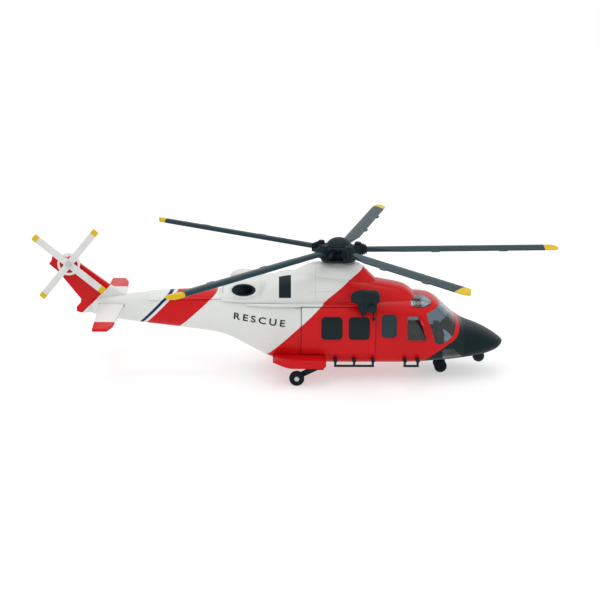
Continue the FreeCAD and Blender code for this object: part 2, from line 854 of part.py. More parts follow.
def tail_pieces():
    """The fin with its gearbox boss, the tailplane, and the slot that the tailplane needs."""
    blank = tailplane()
    slot = pad(
        "tailplane_slot", "XY_Plane",
        [
            ("tailplane_root_front + fit_gap", "-14"), ("tailplane_root_front + fit_gap", "14"),
            ("tailplane_root_rear - fit_gap", "14"), ("tailplane_root_rear - fit_gap", "-14"),
        ],
        "tailplane_thick + 2 * fit_gap",
        at=("0", "0", "tailplane_height - tailplane_thick / 2 - fit_gap"),
    )
    keep("tailplane", blank)
    web = pad("fin_web", "XZ_Plane", FIN_OUTLINE, "fin_thick", midplane=True)
    doc.recompute()
    boss = cylinder(
        "tail_boss", "tail_boss_radius", "tail_boss_reach + fin_thick / 2",
        ("tail_rotor_x", "fin_thick / 2", "tail_rotor_z"), TO_STARBOARD,
    )
    pin_hole = cylinder(
        "tail_pin_hole", "tail_pin_radius + run_gap", "tail_boss_reach + 2",
        ("tail_rotor_x", "0.4", "tail_rotor_z"), TO_STARBOARD,
    )
    fin = cut("fin_moulding", fuse("fin_and_boss", [web, boss]), [clearance_skin, slot, pin_hole])
    keep("tail_fin", fin)
    return slot


def tail_rotor():
    """Four white blades with a ring round the hub, the pin they turn on and its cap."""
    blades = []
    ring_outer = "tail_ring_radius + tail_ring_width / 2"
    ring = cut(
        "tail_ring",
        cylinder("tail_ring_disc", ring_outer, "tail_rotor_thick", ("0", "0", "0")),
        cylinder("tail_ring_bore", "tail_ring_radius - tail_ring_width / 2", "9", ("0", "0", "-2")),
    )
    hub = cylinder("tail_hub", "tail_hub_radius", "tail_rotor_thick + 0.8", ("0", "0", "-0.4"))
    blank = pad(
        "tail_blade", "XY_Plane",
        [
            ("0", "-tail_rotor_chord / 2"), ("tail_rotor_radius", "-tail_rotor_chord / 2"),
            ("tail_rotor_radius", "tail_rotor_chord / 2"), ("0", "tail_rotor_chord / 2"),
        ],
        "tail_rotor_thick", corner="0.9",
    )
    for quarter in range(4):
        angle = size("tail_rotor_phase") + 90.0 * quarter
        blades.append(turned_copy("tail_blade_%d" % quarter, blank, Vector(0, 0, 1), angle))
    spider = fuse("tail_spider", [ring, hub] + blades)
    bore = cylinder("tail_bore", "tail_pin_radius + run_gap", "9", ("0", "0", "-3"))
    face = ("tail_rotor_x", "-tail_rotor_plane", "tail_rotor_z")
    keep("tail_rotor", place(cut("tail_rotor_moulding", spider, bore), face, TO_STARBOARD))
    pin = cylinder(
        "tail_pin", "tail_pin_radius", "tail_rotor_plane + tail_rotor_thick + 1.4",
        ("tail_rotor_x", "0.3", "tail_rotor_z"), TO_STARBOARD,
    )
    head_start = "-tail_rotor_plane - tail_rotor_thick - 0.4 - run_gap"
    cap = revolve(
        "tail_cap_turned",
        [
            ("0", "0"), ("tail_cap_radius", "0"), ("tail_cap_radius", "tail_cap_height / 2"),
            ("0", "tail_cap_height"),
        ],
        ("tail_rotor_x", head_start, "tail_rotor_z"), TO_STARBOARD,
    )
    keep("tail_rotor_pin", fuse("tail_pin_and_head", [pin, cap]))


# ---------------------------------------------------------------------------------------------
# Main rotor
# ---------------------------------------------------------------------------------------------
# angle round the mast and flap of each blade, in degrees; each sits a little off its arm
BLADES = [(5.6, -0.5), (75.8, -0.5), (148.4, 1.2), (225.5, -1.7), (298.7, 2.9)]
ROTOR_AXIS = ("mast_x", "0", "0")
UNDER_BLADE = "rotor_height - blade_root_thick / 2 - fit_gap"
OVER_BLADE = "rotor_height + blade_root_thick / 2 + fit_gap"
LEAD = 0.3     # share of the chord ahead of the blade's axis
PEG_REACH = 13.0
PEG_RADIUS = 0.9


def mast_supports():
    """The bearing cup on the cabin roof and the flanged bush at the top of the fairing."""
    cup = cylinder(
        "bearing_cup", "bearing_radius", "mast_foot + 4.5 - cabin_top",
        ("mast_x", "0", "cabin_top - 0.5"),
    )
    cup_bore = cylinder("cup_bore", "mast_radius + run_gap", "20", ("mast_x", "0", "mast_foot"))
    keep("mast_bearing", cut("mast_bearing_cup", cup, [clearance_skin, cup_bore]))
    profile = [
        ("mast_radius + run_gap", "0"),
        ("bush_radius", "0"),
        ("bush_radius", "bush_depth"),
        ("bush_flange_radius", "bush_depth"),
        ("bush_flange_radius", "bush_depth + bush_flange_height"),
        ("mast_radius + run_gap", "bush_depth + bush_flange_height"),
    ]
    keep("mast_bush", revolve("mast_bush_turned", profile, ("mast_x", "0", "pylon_top - bush_depth")))


def rotor_mast():
    """The mast, with a collar under the bush that keeps it from lifting out."""
    collar_top = "pylon_top - bush_depth - 0.4"
    profile = [
        ("0", "mast_foot + 0.1"),
        ("mast_radius", "mast_foot + 0.1"),
        ("mast_radius", collar_top + " - 1"),
        ("mast_radius + 1.1", collar_top + " - 1"),
        ("mast_radius + 1.1", collar_top),
        ("mast_radius", collar_top),
        ("mast_radius", "rotor_height + 4"),
        ("0", "rotor_height + 4"),
    ]
    keep("rotor_mast", revolve("rotor_mast_turned", profile, ROTOR_AXIS))


def star(name, bottom):
    """Five flat arms round the mast."""
    arm = box(
        name + "_arm", ("hub_arm_reach", "hub_arm_width", "hub_arm_thick"),
        ("0", "-hub_arm_width / 2", bottom),
    )
    arms = []
    for number in range(5):
        angle = size("rotor_phase") + 72.0 * number
        arms.append(turned_copy("%s_arm_%d" % (name, number), arm, Vector(0, 0, 1), angle))
    return arms


def peg(name, radius, number, bottom, height):
    """An upright peg in the middle of one arm's outer half."""
    post = cylinder(name + "_upright", radius, height, (str(PEG_REACH), "0", bottom))
    angle = size("rotor_phase") + 72.0 * number
    return turned_copy(name, post, Vector(0, 0, 1), angle)


def rotor_hub():
    """The hub's lower moulding and its domed cap, which clamp the five blade roots between them."""
    foot = ("0", "0", "pylon_top + bush_flange_height + hub_gap - 0.4")
    barrel = cylinder(
        "hub_barrel", "5.4",
        "rotor_height + blade_root_thick / 2 - pylon_top - bush_flange_height - hub_gap", foot,
    )
    disc = cylinder("hub_disc", "hub_radius", "hub_thick", foot)
    lower_star = star("lower_star", UNDER_BLADE + " - hub_arm_thick")
    bore = cylinder("hub_bore", "mast_radius", "40", ("0", "0", "50"))
    moulding = cut("hub_moulding", fuse("hub_blank", [barrel, disc] + lower_star), bore)
    keep("rotor_hub", place(moulding, ROTOR_AXIS))

    dome = ball("cap_dome", "cap_radius", ("0", "0", "0"))
    squashed = doc.addObject("Part::Feature", "cap_dome_low")
    doc.recompute()
    flat = FreeCAD.Matrix()
    flat.A33 = size("cap_height") / size("cap_radius")
    squashed.Shape = dome.Shape.transformGeometry(flat)
    place(squashed, ("0", "0", OVER_BLADE + " + hub_arm_thick - 0.4"))
    over = box("above_cap_foot", ("40", "40", "30"), ("-20", "-20", OVER_BLADE))
    upper_star = star("upper_star", OVER_BLADE)
    pegs = []
    for number in range(5):
        name = "cap_peg_%d" % number
        pegs.append(
            peg(name, str(PEG_RADIUS), number, UNDER_BLADE + " + fit_gap", "blade_root_thick + 0.5")
        )
    top = fuse("cap_blank", [common("cap_dome_top", squashed, over)] + upper_star + pegs)
    socket = cylinder("cap_socket", "mast_radius", "20", ("0", "0", "rotor_height + 4 - 20"))
    keep("rotor_hub_cap", place(cut("cap_moulding", top, socket), ROTOR_AXIS))


def blade_outline():
    """The blade seen from above, from its flared root to its swept tip, with two trailing tabs."""
    lead = "%g * blade_chord" % LEAD
    trail = "%g * blade_chord - blade_chord" % LEAD
    root_trail = lead + " - blade_root_chord"
    points = [("16.4", lead), ("rotor_radius - blade_tip_length", lead)]
    points += [
        ("rotor_radius - 3.2", "0.06 * blade_chord"),
        ("rotor_radius", "-0.38 * blade_chord"),
        ("rotor_radius - 0.9", "-0.62 * blade_chord"),
        ("rotor_radius - 2.6", trail),
    ]
    for share in (0.74, 0.43):
        middle = "%g * rotor_radius" % share
        points += [
            (middle + " + blade_tab_length / 2", trail),
            (middle + " + blade_tab_length / 2 - 0.8", trail + " - blade_tab_width"),
            (middle + " - blade_tab_length / 2 + 0.8", trail + " - blade_tab_width"),
            (middle + " - blade_tab_length / 2", trail),
        ]
    points += [("blade_flare_radius", trail), ("20", root_trail), ("16.4", root_trail)]
    return points


def aerofoil_bar():
    """A bar of blade section along X, with a thin flat tail that the trailing tabs are cut from."""
    chord = size("blade_chord")
    lead = LEAD * chord
    half_tail = size("blade_tail_thick") / 2
    middle = size("rotor_height")
    upper = []
    for share in (1.0, 0.8, 0.6, 0.45, 0.3, 0.2, 0.1, 0.05, 0.0125):
        half = 5.0 * size("blade_thick") * (
            0.2969 * math.sqrt(share) - 0.126 * share - 0.3516 * share**2
            + 0.2843 * share**3 - 0.1015 * share**4
        )
        upper.append((lead - share * chord, max(half, half_tail)))
    lower = [(y, -half) for y, half in reversed(upper)]
    points = [Vector(0, y, middle + half) for y, half in upper + [(lead, 0.0)] + lower]
    curve = Part.BSplineCurve()
    curve.interpolate(points)
    tail_y = points[0].y - size("blade_tab_width") - 0.3
    tail_low = Vector(0, tail_y, points[-1].z)
    tail_high = Vector(0, tail_y, points[0].z)
    edges = [
        curve.toShape(),
        Part.makeLine(points[-1], tail_low),
        Part.makeLine(tail_low, tail_high),
        Part.makeLine(tail_high, points[0]),
    ]
    item = doc.addObject("Part::Feature", "aerofoil_bar")
    item.Shape = Part.Face(Part.Wire(edges)).extrude(Vector(size("rotor_radius") + 5.0, 0, 0))
    return item


def rotor_blades():
    """Five blades, each with its own pitch and droop and a root tab that is flat in the hub."""
    low = "rotor_height - blade_root_thick / 2"
    plan = pad(
        "blade_plan", "XY_Plane", blade_outline(), "2 * blade_thick",
        at=("0", "0", "rotor_height - blade_thick"),
    )
    flat_wing = common("blade_wing", plan, aerofoil_bar())
    feather = Vector(0, 0.3, size("rotor_height"))
    wing = turned_copy("blade_wing_pitched", flat_wing, Vector(1, 0, 0), size("blade_pitch"), feather)
    lead = "%g * blade_chord" % LEAD
    tab = box(
        "blade_root", ("17.4 - 6.4", "blade_root_chord", "blade_root_thick"),
        ("6.4", lead + " - blade_root_chord", low),
    )
    hinge = Vector(16.6, 0, size("rotor_height"))
    for number, (angle, flap) in enumerate(BLADES):
        name = "rotor_blade_%d" % (number + 1)
        drooped = turned_copy(name + "_wing", wing, Vector(0, 1, 0), -flap, hinge)
        whole = fuse(name + "_whole", [drooped, tab])
        swung = turned_copy(name + "_swung", whole, Vector(0, 0, 1), angle)
        hole = peg(name + "_hole", "%g + run_gap" % PEG_RADIUS, number, "rotor_height - 2", "4")
        keep(name, place(cut(name + "_moulding", swung, hole), ROTOR_AXIS))


# ---------------------------------------------------------------------------------------------
# Landing gear
# ---------------------------------------------------------------------------------------------
MAIN_AXLE_Z = "main_wheel_radius - ground_drop"
NOSE_AXLE_Z = "nose_wheel_radius - ground_drop"


def sponsons():
    """The side fairings that carry the main legs."""
    outline = [
        ("sponson_front", "sponson_bottom + 1.6"),
        ("sponson_front", "sponson_top - 1.4"),
        ("sponson_front - 1.6", "sponson_top"),
        ("sponson_rear + 2", "sponson_top"),
        ("sponson_rear", "sponson_top - 1.4"),
        ("sponson_rear + 8", "sponson_bottom + 0.8"),
        ("sponson_rear + 12", "sponson_bottom"),
        ("sponson_front - 1.6", "sponson_bottom"),
    ]
    block = pad("sponson_block", "XZ_Plane", outline, "sponson_reach - 8", at=("0", "-8", "0"))
    keep_pair("sponson", cut("sponson_moulding", block, clearance_skin))


def wheel_profile(radius, width, bore, recess):
    """Half a wheel's section, from its bore out to a tread with rounded shoulders."""
    return [
        (bore, recess),
        (radius + " * 0.5", recess),
        (radius + " * 0.62", "0"),
        (radius + " - 1.0", "0"),
        (radius + " - 0.3", "0.35"),
        (radius, "1.0"),
        (radius, width + " - 1.0"),
        (radius + " - 0.3", width + " - 0.35"),
        (radius + " - 1.0", width),
        (radius + " * 0.62", width),
        (radius + " * 0.5", width + " - " + recess),
        (bore, width + " - " + recess),
    ]


def main_gear():
    """Trailing legs, wheels and the headed pins they run on."""
    inner_face = "main_wheel_y - main_wheel_width / 2 - 0.3"
    arm = pad(
        "leg_arm", "XZ_Plane",
        [
            ("leg_pivot_x + 2", "sponson_bottom - 0.1"),
            ("leg_pivot_x - 2.6", "sponson_bottom - 0.1"),
            ("main_wheel_x - 0.7", MAIN_AXLE_Z + " + 1.4"),
            ("main_wheel_x - 1.3", MAIN_AXLE_Z + " - 0.4"),
            ("main_wheel_x + 1", MAIN_AXLE_Z + " - 1.3"),
            ("leg_pivot_x + 1", "sponson_bottom - 2.4"),
        ],
        "leg_thick", at=("0", "leg_thick - (" + inner_face + ")", "0"),
    )
    block = box(
        "leg_block", ("6.4", "4", "2"),
        ("leg_pivot_x - 3", "-main_wheel_y - 0.6", "sponson_bottom - 2 - fit_gap"),
    )
    bore = cylinder(
        "leg_bore", "axle_radius + run_gap", "12", ("main_wheel_x", "-20", MAIN_AXLE_Z), TO_STARBOARD
    )
    keep_pair("main_gear_leg", cut("leg_moulding", fuse("leg_blank", [arm, block]), bore))
    profile = wheel_profile("main_wheel_radius", "main_wheel_width", "axle_radius + run_gap", "0.5")
    wheel = revolve(
        "main_wheel_turned", profile,
        ("main_wheel_x", "main_wheel_width / 2 - main_wheel_y", MAIN_AXLE_Z), TO_STARBOARD,
    )
    keep_pair("main_wheel", wheel)
    reach = "main_wheel_width + 0.3 + leg_thick - 0.5 + 0.15"
    pin = revolve(
        "axle_pin_turned",
        [
            ("0", "0"), ("axle_radius", "0"), ("axle_radius", reach), ("main_hub_radius", reach),
            ("main_hub_radius - 0.4", reach + " + 0.7"), ("0", reach + " + 0.8"),
        ],
        ("main_wheel_x", "leg_thick - (" + inner_face + ")", MAIN_AXLE_Z), TO_STARBOARD,
    )
    keep("main_axle_pins", fuse("axle_pin_pair", [pin, mirrored("axle_pin_port", pin)]))


def nose_gear():
    """The nose leg and the twin wheels pressed on one axle."""
    stem = cylinder(
        "nose_stem", "nose_leg_radius", "ground_drop - nose_wheel_radius + 4",
        ("nose_wheel_x", "0", NOSE_AXLE_Z),
    )
    collar = cylinder("nose_collar", "nose_leg_radius + 1.6", "4", ("nose_wheel_x", "0", "-0.7"))
    half = "nose_wheel_y - nose_wheel_width / 2 - 0.3"
    boss = cylinder(
        "nose_boss", "1.7", "2 * (" + half + ")", ("nose_wheel_x", half, NOSE_AXLE_Z), TO_STARBOARD
    )
    bore = cylinder(
        "nose_bore", "axle_radius + run_gap", "12", ("nose_wheel_x", "6", NOSE_AXLE_Z), TO_STARBOARD
    )
    leg = fuse("nose_leg_blank", [stem, collar, boss])
    keep("nose_gear_leg", cut("nose_leg_moulding", leg, [clearance_skin, bore]))
    profile = wheel_profile("nose_wheel_radius", "nose_wheel_width", "axle_radius", "0.35")
    wheel = revolve(
        "nose_wheel_turned", profile,
        ("nose_wheel_x", "nose_wheel_width / 2 - nose_wheel_y", NOSE_AXLE_Z), TO_STARBOARD,
    )
    keep_pair("nose_wheel", wheel)
    outer = "nose_wheel_y + nose_wheel_width / 2 - 0.1"
    axle = cylinder(
        "nose_axle_bar", "axle_radius", "2 * (" + outer + ")",
        ("nose_wheel_x", outer, NOSE_AXLE_Z), TO_STARBOARD,
    )
    keep("nose_axle", axle)


# ---------------------------------------------------------------------------------------------
# Cabin interior and belly plate
# ---------------------------------------------------------------------------------------------
FLOOR_TOP = "floor_bottom + floor_thick + fit_gap"


def screw_cylinders(name, radius, height, bottom):
    """One upright cylinder at each belly screw."""
    return [
        cylinder("%s_%d" % (name, k), radius, height, (x, y, bottom))
        for k, (x, y) in enumerate(SCREW_PLACES)
    ]


def belly():
    """The belly plate with the stand socket, its four screws, and the opening it needs."""
    skin = common("plate_skin_piece", whole_skin, plate_tool())
    boss = cylinder("socket_boss", "socket_boss_radius", "floor_bottom - fit_gap", ("0", "0", "0"))
    socket = cylinder("socket_hole", "socket_radius", "socket_depth", ("0", "0", "0"))
    holes = screw_cylinders("plate_hole", "screw_radius + 0.1", "8", "-2")
    keep("belly_plate", cut("plate_moulding", fuse("plate_blank", [skin, boss]), [socket] + holes))
    heads = screw_cylinders(
        "screw_head", "screw_head_radius", "screw_head_height + 0.6", "-screw_head_height"
    )
    shafts = screw_cylinders("screw_shaft", "screw_radius", "screw_length - 0.6", "-0.3")
    screws = [
        fuse("belly_screw_%d" % k, [cut("screw_head_cut_%d" % k, head, clearance_skin), shaft])
        for k, (head, shaft) in enumerate(zip(heads, shafts))
    ]
    keep("belly_screws", fuse("belly_screw_group", screws))
    return box(
        "plate_opening",
        ("plate_front - plate_rear + 2 * fit_gap", "2 * (plate_half_width + fit_gap)", "plate_skin + 30"),
        ("plate_rear - fit_gap", "-plate_half_width - fit_gap", "-30"),
    )


def cabin_floor():
    """The floor tray with the posts that the belly screws bite into, and the rear bulkhead."""
    tray = box(
        "floor_tray", ("floor_front - floor_rear", "80", "floor_thick"),
        ("floor_rear", "-40", "floor_bottom"),
    )
    posts = screw_cylinders("floor_post", "screw_post_radius", "floor_bottom", "0.1")
    pilots = screw_cylinders("post_pilot", "screw_radius + run_gap", "6.4", "-0.2")
    blank = common("floor_inside", fuse("floor_blank", [tray] + posts), inside_clearance)
    keep("cabin_floor", cut("floor_moulding", blank, pilots))
    wall_box = box(
        "bulkhead_box", ("bulkhead_thick", "80", "60"), ("floor_rear", "-40", FLOOR_TOP)
    )
    keep("rear_bulkhead", common("bulkhead_panel", wall_box, inside_clearance))


def seat(name, x, y, width, facing):
    """A seat base, cushion and back; a facing of -1 turns the back to the front."""
    if facing > 0:
        base_x, back_x = x, x + " - seat_back_thick"
    else:
        base_x, back_x = x + " - seat_depth", x
    half = "(" + width + ") / 2"
    base = box(
        name + "_base", ("seat_depth", width, "seat_base + seat_cushion"),
        (base_x, y + " - " + half, FLOOR_TOP),
    )
    back = box(
        name + "_back", ("seat_back_thick", width, "seat_base + seat_cushion + seat_back_height"),
        (back_x, y + " - " + half, FLOOR_TOP),
    )
    return fuse(name, [base, back])


def cabin_fittings():
    """Seats and the instrument panel."""
    keep_pair("pilot_seat", seat("pilot_seat_solid", "pilot_seat_x", "-seat_spread", "seat_width", 1))
    keep("rear_bench", seat("rear_bench_solid", "rear_bench_x + 1.5", "0", "bench_width", 1))
    facing_aft = seat(
        "front_bench_solid", "front_bench_x - seat_back_thick", "0", "bench_width", -1
    )
    keep("front_bench", facing_aft)
    panel = box(
        "panel_box", ("panel_depth - 1", "panel_width", "panel_height"),
        ("panel_x", "-panel_width / 2", FLOOR_TOP),
    )
    keep("instrument_panel", panel)


# ---------------------------------------------------------------------------------------------
# Small fittings
# ---------------------------------------------------------------------------------------------
def camera_turret():
    """The sensor ball under the nose."""
    sensor = ball("turret_ball", "turret_radius", ("turret_x", "0", "turret_z"))
    keep("camera_turret", cut("turret_ball_cut", sensor, clearance_skin))


def step_bar(label, front, rear, struts):
    """One round step bar to starboard, hung on upright struts with feet against the skin."""
    out = "-cabin_half_width - 1.2"
    length = "%s - (%s)" % (front, rear)
    pieces = [cylinder(label + "_bar", "step_radius", length, (rear, out, "step_drop"), ALONG_X)]
    for number in range(struts):
        x = "%s + 0.8 + %g * (%s - 1.6)" % (rear, number / (struts - 1), length)
        strut = cylinder(
            "%s_strut_%d" % (label, number), "step_radius", "step_top - step_drop",
            (x, out, "step_drop"),
        )
        foot = cylinder(
            "%s_foot_%d" % (label, number), "step_foot_radius", "6",
            (x, out + " - 0.7", "step_top - 0.6"), ALONG_PORT,
        )
        pieces += [strut, foot]
    return cut(label + "_cut", fuse(label + "_blank", pieces), clearance_skin)


def boarding_steps():
    """A long step under the cabin door and a short one under the cockpit door, on each side."""
    rear = step_bar("rear_step", "rear_step_front", "rear_step_rear", 3)
    front = step_bar("front_step", "front_step_front", "front_step_rear", 2)
    keep_pair("boarding_steps", fuse("boarding_step_set", [rear, front]))


def rescue_hoist(cowl_clearance):
    """The winch drum, its arm to the cowl and the hook, on the starboard side."""
    drum = cylinder(
        "hoist_drum", "hoist_radius + 0.8", "hoist_length",
        ("hoist_x - hoist_length / 2", "-hoist_y", "hoist_z + 1"), ALONG_X,
    )
    case = box(
        "hoist_case", ("11.8", "5.6", "9.5"), ("hoist_x - 4.4", "-hoist_y - 2.8", "hoist_z - 11")
    )
    arm = cylinder(
        "hoist_arm", "2.4", "hoist_y - 8", ("hoist_x + 1", "-8", "hoist_z + 0.5"), TO_STARBOARD
    )
    blank = fuse("hoist_blank", [drum, case, arm])
    body = cut("hoist_moulding", blank, [clearance_skin, cowl_clearance])
    cable = cylinder("hook_cable", "0.5", "3.6", ("hoist_x + 5.4", "-hoist_y", "hoist_z - 14"))
    hook = ball("hook_ball", "1.1", ("hoist_x + 5.4", "-hoist_y", "hoist_z - 14.4"))
    keep("rescue_hoist", fuse("hoist_and_hook", [body, cable, hook]))


def lower_shell(openings):
    """The lower fuselage: the skin behind the nose cone, with its openings cut and rails added."""
    shell = common("shell_behind_nose", whole_skin, body_region)
    blank = fuse("shell_with_rails", [shell, door_rails()])
    keep("lower_fuselage_shell", cut("lower_shell_cut", blank, openings))


def build():
    """Make every sub-part."""
    nose_shell = common("nose_shell", whole_skin, nose_region)
    keep("nose_cone", nose_shell)
    openings = glazing() + doorway()
    openings.append(belly())
    slot = tail_pieces()
    openings.append(slot)
    lower_shell(openings)
    sliding_doors()
    engine_cowl()
    cowl_clearance = cowl_solid("cowl_clearance", size("fit_gap"))
    exhausts()
    boom_top_cover()
    tail_rotor()
    mast_supports()
    rotor_mast()
    rotor_hub()
    rotor_blades()
    sponsons()
    main_gear()
    nose_gear()
    cabin_floor()
    cabin_fittings()
    camera_turret()
    boarding_steps()
    rescue_hoist(cowl_clearance)
    doc.recompute()


def check_and_write():
    """Refuse a failed object or a bad shape, then write one STEP file for each sub-part."""
    failed = [item.Name for item in doc.Objects if "Invalid" in item.State or "Error" in item.State]
    if failed:
        raise RuntimeError("failed objects: " + ", ".join(failed))
    os.makedirs("parts", exist_ok=True)
    for item in sub_parts:
        shape = item.Shape
        if shape.isNull() or not shape.isValid() or not shape.Solids:
            raise RuntimeError("bad shape: " + item.Label)
        shape.exportStep(os.path.join("parts", item.Label + ".step"))
        print("%-26s %2d solid(s) %9.1f mm3" % (item.Label, len(shape.Solids), shape.Volume))


build()
check_and_write()
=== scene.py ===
"""Looks of a red and white rescue helicopter model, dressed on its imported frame.

Everything is in metres in the part's own frame: the nose lies along +X, the port side along
+Y and up along +Z, and the origin is the mouth of the stand socket in the belly.
"""

import json
import logging
import math
from dataclasses import dataclass
from enum import Enum
from typing import Sequence, Union

import bpy
from mathutils import Matrix, Vector

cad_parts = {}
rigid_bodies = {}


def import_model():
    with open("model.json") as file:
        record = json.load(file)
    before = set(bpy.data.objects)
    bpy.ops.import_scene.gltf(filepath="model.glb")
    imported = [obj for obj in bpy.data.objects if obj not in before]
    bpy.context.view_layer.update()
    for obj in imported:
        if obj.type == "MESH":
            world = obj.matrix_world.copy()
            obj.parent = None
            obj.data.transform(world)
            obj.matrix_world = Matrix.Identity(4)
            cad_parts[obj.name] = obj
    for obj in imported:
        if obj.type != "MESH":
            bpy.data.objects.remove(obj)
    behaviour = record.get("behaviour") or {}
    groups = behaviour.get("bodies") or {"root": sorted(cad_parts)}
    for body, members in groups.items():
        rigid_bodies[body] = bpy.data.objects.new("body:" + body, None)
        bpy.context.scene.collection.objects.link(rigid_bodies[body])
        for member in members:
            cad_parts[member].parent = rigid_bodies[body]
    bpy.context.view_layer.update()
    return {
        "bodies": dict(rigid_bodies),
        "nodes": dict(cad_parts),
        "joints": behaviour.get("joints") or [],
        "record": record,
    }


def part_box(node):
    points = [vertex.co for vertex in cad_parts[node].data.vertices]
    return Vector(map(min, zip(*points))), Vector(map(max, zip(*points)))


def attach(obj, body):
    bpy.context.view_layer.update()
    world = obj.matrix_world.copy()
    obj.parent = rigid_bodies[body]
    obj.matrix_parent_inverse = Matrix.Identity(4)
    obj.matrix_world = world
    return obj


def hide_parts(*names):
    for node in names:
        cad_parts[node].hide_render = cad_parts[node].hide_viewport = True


LOG = logging.getLogger("helicopter")
MM = 0.001
# Metres from the middle plane to where a flat piece starts, clear of the skin that it is laid on.
CLEAR_OF_SKIN = 0.040
# Metres over which a flat piece looks for the skin.
SKIN_REACH = 0.06

Colour = tuple[float, float, float]
Point = tuple[float, float, float]
Feed = Union[float, bpy.types.NodeSocket]

RED: Colour = (0.560, 0.003, 0.005)
WHITE: Colour = (0.700, 0.715, 0.700)
NAVY: Colour = (0.004, 0.016, 0.090)
SOOT: Colour = (0.001, 0.011, 0.014)
YELLOW: Colour = (0.620, 0.430, 0.010)
SLATE: Colour = (0.014, 0.042, 0.054)
# Dark of the panel lines, and of the painted shade laid on the faces that look into the cabin.
GROOVE_AND_SHADE_DARK: Colour = (0.010, 0.014, 0.016)


class Side(Enum):
    """The two sides of the aircraft, as the sign of Y."""

    STARBOARD = -1
    PORT = 1

    @property
    def word(self) -> str:
        """The side's name as node names spell it."""
        return self.name.lower()


class NodeBoard:
    """Adds and joins the nodes of one material."""

    def __init__(self, name: str) -> None:
        """Start a material.

        Args:
            name: The material's name.
        """
        self.material = bpy.data.materials.new(name)
        self.material.use_nodes = True
        self.tree = self.material.node_tree
        self.shader = self.tree.nodes["Principled BSDF"]

    def add(self, kind: str, **settings: object) -> bpy.types.Node:
        """Add one node and set its properties.

        Args:
            kind: The node's type.
            settings: Property values.

        Returns:
            The new node.
        """
        node = self.tree.nodes.new(kind)
        for name, value in settings.items():
            setattr(node, name, value)
        return node

    def feed(self, socket: bpy.types.NodeSocket, value: object) -> None:
        """Link a socket's source, or set its value.

        Args:
            socket: The input to fill.
            value: An output socket, a number or a colour.
        """
        if isinstance(value, bpy.types.NodeSocket):
            self.tree.links.new(value, socket)
        else:
            socket.default_value = value

    def math(self, operation: str, *values: Feed) -> bpy.types.NodeSocket:
        """Work out one number.

        Args:
            operation: The Math node's operation.
            values: Its inputs, in order.

        Returns:
            The result's socket.
        """
        node = self.add("ShaderNodeMath", operation=operation)
        for socket, value in zip(node.inputs, values):
            self.feed(socket, value)
        return node.outputs[0]

    def place(self) -> bpy.types.NodeSocket:
        """The place on the piece, in metres."""
        return self.add("ShaderNodeTexCoord").outputs["Object"]

    def axes(self) -> tuple[bpy.types.NodeSocket, ...]:
        """X, Y and Z of the place, in millimetres."""
        scale = self.add("ShaderNodeVectorMath", operation="SCALE")
        self.feed(scale.inputs[0], self.place())
        scale.inputs["Scale"].default_value = 1 / MM
        parts = self.add("ShaderNodeSeparateXYZ")
        self.feed(parts.inputs[0], scale.outputs[0])
        return tuple(parts.outputs)

    def beyond(self, value: Feed, edge: float, width: float = 0.08) -> bpy.types.NodeSocket:
        """A mask that is 1 where a value is past an edge.

        Args:
            value: What is compared.
            edge: Where the mask changes.
            width: How wide the change is.

        Returns:
            The mask's socket.
        """
        node = self.add("ShaderNodeMapRange", clamp=True)
        self.feed(node.inputs["Value"], value)
        node.inputs["From Min"].default_value = edge - width / 2
        node.inputs["From Max"].default_value = edge + width / 2
        return node.outputs[0]

    def between(self, value: Feed, low: float, high: float) -> bpy.types.NodeSocket:
        """A mask that is 1 between two edges."""
        return self.math("SUBTRACT", self.beyond(value, low), self.beyond(value, high))

    def blend(self, factor: Feed, first: object, second: object) -> bpy.types.NodeSocket:
        """Mix two colours.

        Args:
            factor: 0 gives the first and 1 the second.
            first: A colour or its socket.
            second: A colour or its socket.

        Returns:
            The mixed colour's socket.
        """
        node = self.add("ShaderNodeMix", data_type="RGBA")
        self.feed(node.inputs["Factor"], factor)
        for socket, colour in zip((node.inputs[6], node.inputs[7]), (first, second)):
            self.feed(socket, (*colour, 1.0) if isinstance(colour, tuple) else colour)
        return node.outputs[2]

    def noise(self, scale: float, detail: float = 3.0) -> bpy.types.NodeSocket:
        """Smooth noise over the piece.

        Args:
            scale: Bumps per metre.
            detail: Octaves.

        Returns:
            The noise factor's socket.
        """
        node = self.add("ShaderNodeTexNoise")
        self.feed(node.inputs["Vector"], self.place())
        node.inputs["Scale"].default_value = scale
        node.inputs["Detail"].default_value = detail
        return node.outputs["Fac"]

    def spread(self, value: Feed, low: float, high: float) -> bpy.types.NodeSocket:
        """Stretch a 0 to 1 value between two numbers."""
        node = self.add("ShaderNodeMapRange")
        self.feed(node.inputs["Value"], value)
        node.inputs["To Min"].default_value = low
        node.inputs["To Max"].default_value = high
        return node.outputs[0]

    def relief(self, height: Feed, depth: float, strength: float = 1.0) -> None:
        """Turn a height into surface relief.

        Args:
            height: The height's socket, 0 to 1.
            depth: How deep 1 is, in metres.
            strength: How much of it shows.
        """
        node = self.add("ShaderNodeBump")
        self.feed(node.inputs["Height"], height)
        node.inputs["Distance"].default_value = depth
        node.inputs["Strength"].default_value = strength
        self.feed(self.shader.inputs["Normal"], node.outputs[0])

    def set(self, **values: object) -> None:
        """Fill the shader's inputs; an underscore in a name stands for a space."""
        for name, value in values.items():
            self.feed(self.shader.inputs[name.replace("_", " ")], value)


